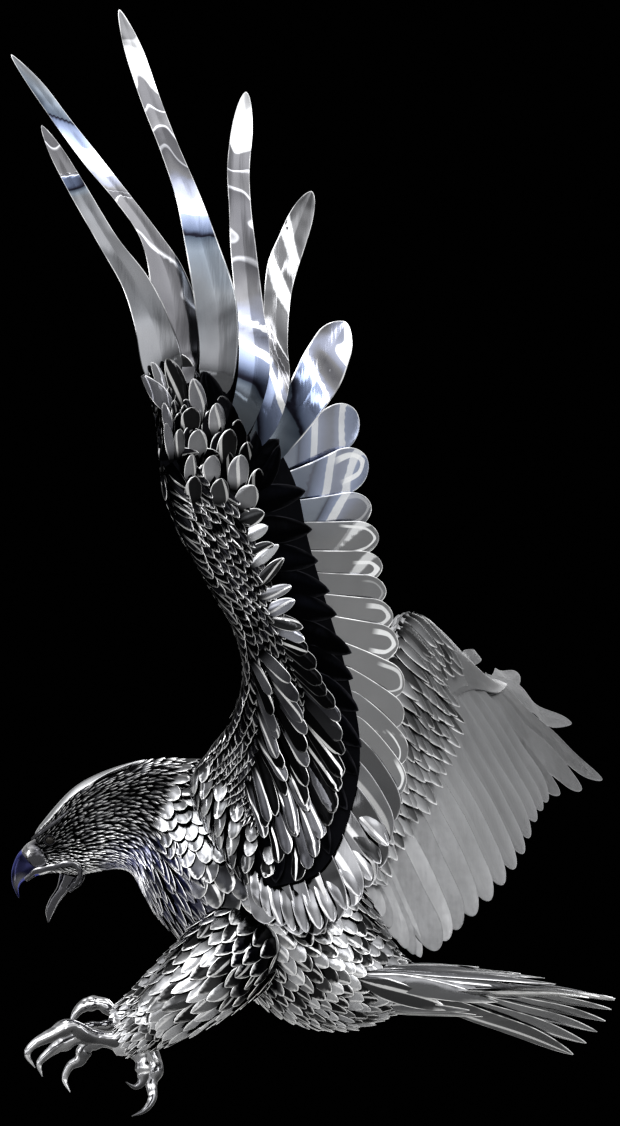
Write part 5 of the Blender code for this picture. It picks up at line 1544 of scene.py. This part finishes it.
def make_tertials(side_name, wing, tips, span, count, coat):
    """The short feathers next to the body, each wide enough to overlap the next."""
    lines = flight_lines(wing, tips, count, span)
    gap = lengths(np.diff(lines[:, -1], axis=0)).mean()
    shape = Outline(24, VANE_SECTION, root=0.60, tip_begins=0.72, p=2.1, q=1.7, dome=0.0, crease=0.08,
                    rim=0.06, cup=0.10, slender=4.0)
    vanes(f"{side_name}_tertial_vanes", lines, fan_sides(lines[:, 0], lines[:, -1]), 0.5 * gap * 1.7, shape,
          coat, (f"{side_name}_tertials",), 400, wave=0.002)


def make_tail():
    """The tail's fan: feathers at even angles about the middle one, each a step lower than its inner
    neighbour and bowed a little upwards. Their roots run on into the body."""
    middle = (TAIL_COUNT - 1) // 2
    lines, sides = [], []
    for number in range(TAIL_COUNT):
        share = (number - middle) / middle
        angle = share * TAIL_HALF_FAN
        heading = np.array([math.cos(angle), math.sin(angle), 0.0])
        start = TAIL_ROOT + 0.060 * share * np.array([0.0, 1.0, -TAIL_TILT]) + 0.02 * heading
        steps_down = 2 * abs(number - middle) + (number < middle)
        start = start + TAIL_STEP * steps_down * DOWN
        fall = TAIL_FALL + TAIL_DROOP * share**2 + TAIL_TILT * TAIL_LENGTH * math.sin(angle)
        tip = start + TAIL_LENGTH * heading + fall * DOWN
        bend = 0.5 * (start + tip) - TAIL_BOW * DOWN
        inner = start - 0.12 * unit(bend - start)
        lines.append((inner, 0.5 * (inner + bend), bend, 0.5 * (bend + tip) - 0.5 * TAIL_BOW * DOWN, tip))
        sides.append((-math.sin(angle), math.cos(angle), -0.1 * share - TAIL_TILT))
    shape = Outline(36, VANE_SECTION, root=0.45, tip_begins=0.62, p=1.8, q=1.4, dome=0.0, crease=0.05,
                    rim=0.08, slender=10.0)
    vanes("tail_vanes", lines, sides, 0.5 * TAIL_WIDTH, shape, BLADE,
          tuple(f"tail_feather_{k}" for k in range(1, TAIL_COUNT + 1)), 500, lean=0.0, wave=0.002)


def make_tail_coverts():
    """Long slender plates over the root of the tail, straight from the flanks along both its sides and
    bowed outwards, and shorter ones below it."""
    u = TAIL_BLADE.u
    layers = []
    starts, tips = np.array(TAIL_PLATE_STARTS), np.array(TAIL_PLATE_TIPS)
    half = 0.5 * np.array(TAIL_PLATE_WIDTHS)

    def layer(middle, facing, half, seed):
        facing = np.broadcast_to(facing[:, None], middle.shape)
        layers.append(TAIL_BLADE.plates(middle, facing, half, seed, tuck=0.12))

    for side in (-1, 1):
        sideways = side * np.cos(TAIL_PLATE_TURNS)
        facing = np.stack([0 * sideways, sideways, np.sin(TAIL_PLATE_TURNS)], -1)
        bow = 0.012 * np.sin(math.pi * u)[None, :, None] * facing[:, None]
        middle = (starts + (tips - starts) * u[:, None, None]).swapaxes(0, 1) * (1.0, -side, 1.0)
        layer(middle + bow, facing, half, 530 + side)
    share = np.linspace(-1, 1, 5)
    same = np.ones(5)
    start = np.stack([0.40 * same, 0.10 * share, -0.86 + 0.02 * share**2], -1)
    run = np.stack([0.42 - 0.06 * np.abs(share), 0.10 * share, -0.015 * same], -1)
    middle = start[:, None] + u[None, :, None] * run[:, None]
    layer(middle, np.stack([0 * same, 0.6 * share, -same], -1), 0.035, 541)
    clad("tail_coverts", joined(*layers), TAIL_LEAVES)


def make_pad():
    """Flat pad that the bird hangs by: a turned disc with a rounded rim."""
    profile = ((1e-4, 0.0), (PAD_RADIUS - 0.004, 0.0), (PAD_RADIUS - 0.001, -0.001), (PAD_RADIUS, -0.004),
               (PAD_RADIUS, -PAD_DEPTH), (1e-4, -PAD_DEPTH))
    angle = turns(48)
    rings = np.stack([np.stack([radius * np.cos(angle), radius * np.sin(angle), 0 * angle + height], -1)
                      for radius, height in profile])
    tubes("hanging_pad", (rings + PAD_TOP)[None], SATIN)


# The studio.


def make_world():
    """Studio light: dark behind the bird, grey in front of it, with soft bright bands at several heights.
    The camera sees none of it directly."""
    world = bpy.data.worlds.new("studio")
    bpy.context.scene.world = world
    world.use_nodes = True
    net = Net(world.node_tree)
    spot = net.node("ShaderNodeTexCoord", {}).outputs["Generated"]
    aside, depth, height = (Value(net, part) for part in net.node("ShaderNodeSeparateXYZ", {}, spot).outputs)
    front = ((0.55 - depth) * 0.9).clamped()

    def glare(value, *rows):
        """Levels of light against a direction from -1 to 1."""
        shades = [(0.5 + 0.5 * place, colour(light, light, light * 1.03)) for place, light in rows]
        return Value(net, net.ramp(value * 0.5 + 0.5, shades))

    bands = glare(height, (-1.0, 0.30), (-0.30, 0.45), (-0.05, 0.25), (0.06, 0.55), (0.20, 0.95),
                  (0.30, 0.90), (0.38, 0.45), (0.55, 0.60), (0.66, 1.15), (0.80, 1.0), (0.90, 0.5),
                  (1.0, 0.5))
    sides = glare(aside, (-1.0, 0.55), (-0.72, 0.7), (-0.60, 1.15), (-0.34, 1.1), (-0.24, 0.75), (0.10, 0.8),
                  (0.20, 1.2), (0.46, 1.2), (0.58, 0.6), (1.0, 0.8))
    seen = Value(net, net.node("ShaderNodeLightPath", {}).outputs["Is Camera Ray"])
    glow = bands * sides * (0.25 + front * 0.75) * 1.9 * (1.0 - seen) + 0.0005
    back = net.node("ShaderNodeBackground", {}, glow, 1.0)
    net.node("ShaderNodeOutputWorld", {}, back.outputs[0])


def add_to_scene(name, data):
    """A new object of that name with the data."""
    made = bpy.data.objects.new(name, data)
    bpy.context.scene.collection.objects.link(made)
    return made


def soft_box(name, place, aim, size, power):
    """Rectangular lamp at a place, turned to its aim, which the camera doesn't see."""
    light = bpy.data.lights.new(name, "AREA")
    light.shape = "RECTANGLE"
    light.size, light.size_y = size
    light.energy = power
    made = add_to_scene(name, light)
    made.location = place
    made.rotation_euler = (Vector(aim) - Vector(place)).to_track_quat("-Z", "Y").to_euler()
    made.visible_camera = False


def make_studio():
    """World, soft boxes and a pale floor far below the bird."""
    make_world()
    soft_box("key_box", (-5.0, -9.0, 8.0), (0, 0, 0.6), (4.0, 3.0), 130)
    soft_box("right_strip", (9.0, -8.0, 3.0), (0, 0, 0.8), (1.2, 6.0), 70)
    soft_box("left_strip", (-10.0, -3.0, 1.0), (0, 0, 0.5), (1.4, 6.0), 80)
    soft_box("top_box", (1.0, 1.0, 9.0), (0.2, 0, 0), (3.5, 3.5), 110)
    soft_box("back_box", (3.0, 9.0, 5.0), (0.3, 0, 0.5), (4.0, 1.6), 60)
    soft_box("front_strip", (1.0, -12.0, 0.2), (0.2, 0, 0.6), (5.0, 0.8), 20)
    floor = bpy.data.meshes.new("floor")
    signs = ((-1, -1), (1, -1), (1, 1), (-1, 1))
    corners = [(x * FLOOR_REACH, y * FLOOR_REACH, FLOOR_HEIGHT) for x, y in signs]
    floor.from_pydata(corners, [], [(0, 1, 2, 3)])
    floor.materials.append(floor_paint("pale_floor"))
    add_to_scene("floor", floor)


def make_camera():
    """Camera level with the feet, looking a little up at the bird's left side."""
    lens = bpy.data.cameras.new("camera")
    lens.sensor_width = SENSOR
    lens.lens = SENSOR * FOCAL_PIXELS / IMAGE_HEIGHT
    lens.clip_end = 200.0
    eye = add_to_scene("camera", lens)
    eye.location = (AIM[0], AIM[1] - DISTANCE * math.cos(LOOK_UP), AIM[2] - DISTANCE * math.sin(LOOK_UP))
    eye.rotation_euler = (math.pi / 2 + LOOK_UP, 0.0, 0.0)
    bpy.context.scene.camera = eye
    bpy.context.scene.view_settings.view_transform = "Standard"
    bpy.context.scene.view_settings.look = "High Contrast"


def main():
    """Every piece, the studio and the camera."""
    make_trunk()
    make_leg("left_leg", LEFT_LEG, 91)
    make_leg("right_leg", RIGHT_LEG, 95)
    make_head()
    make_eyes()
    make_foot("left_foot", LEFT_LEG, LEFT_TOES)
    make_foot("right_foot", RIGHT_LEG, RIGHT_TOES)
    left = Wing(LEFT_LEAD, LEFT_EDGE, -1.0, 0.0)
    right = Wing(RIGHT_LEAD, RIGHT_EDGE, 1.0, 0.72)
    # The near arm's hull is painted near black as the shade between its coverts.
    make_arm("left_arm_hull", left, "left_wing_arm", HULL)
    make_arm("right_arm_hull", right, "right_wing_arm", SATIN)
    make_left_coverts(left)
    make_right_coverts(right)
    make_flank_plates()
    make_primaries("left", left, LEFT_PRIMARIES, (MIRROR, BANDED), facing=0.35,
                   roots_wide=(1.0,) * 6, tips_begin=(0.86,) * 6)
    make_primaries("right", right, RIGHT_PRIMARIES, (SATIN, SATIN), facing=1.0,
                   roots_wide=(0.3, 0.4, 0.8, 1.0, 1.0, 1.0),
                   tips_begin=(0.30, 0.40, 0.70, 0.80, 0.80, 0.80))
    make_secondaries("left", left, LEFT_SECONDARY_TIPS, LEFT_SECONDARY_ROOTS, LEFT_SECONDARY_WIDTHS, PADDLE,
                     SECONDARY_BANDS)
    make_secondaries("right", right, RIGHT_SECONDARY_TIPS, RIGHT_SECONDARY_ROOTS, RIGHT_SECONDARY_WIDTHS,
                     SATIN)
    make_tertials("left", left, LEFT_TERTIAL_TIPS, LEFT_TERTIAL_ROOTS, LEFT_TERTIAL_COUNT, FLANK)
    make_tertials("right", right, RIGHT_TERTIAL_TIPS, RIGHT_TERTIAL_ROOTS, RIGHT_TERTIAL_COUNT, SATIN)
    make_tail()
    make_tail_coverts()
    make_pad()
    make_studio()
    make_camera()


main()
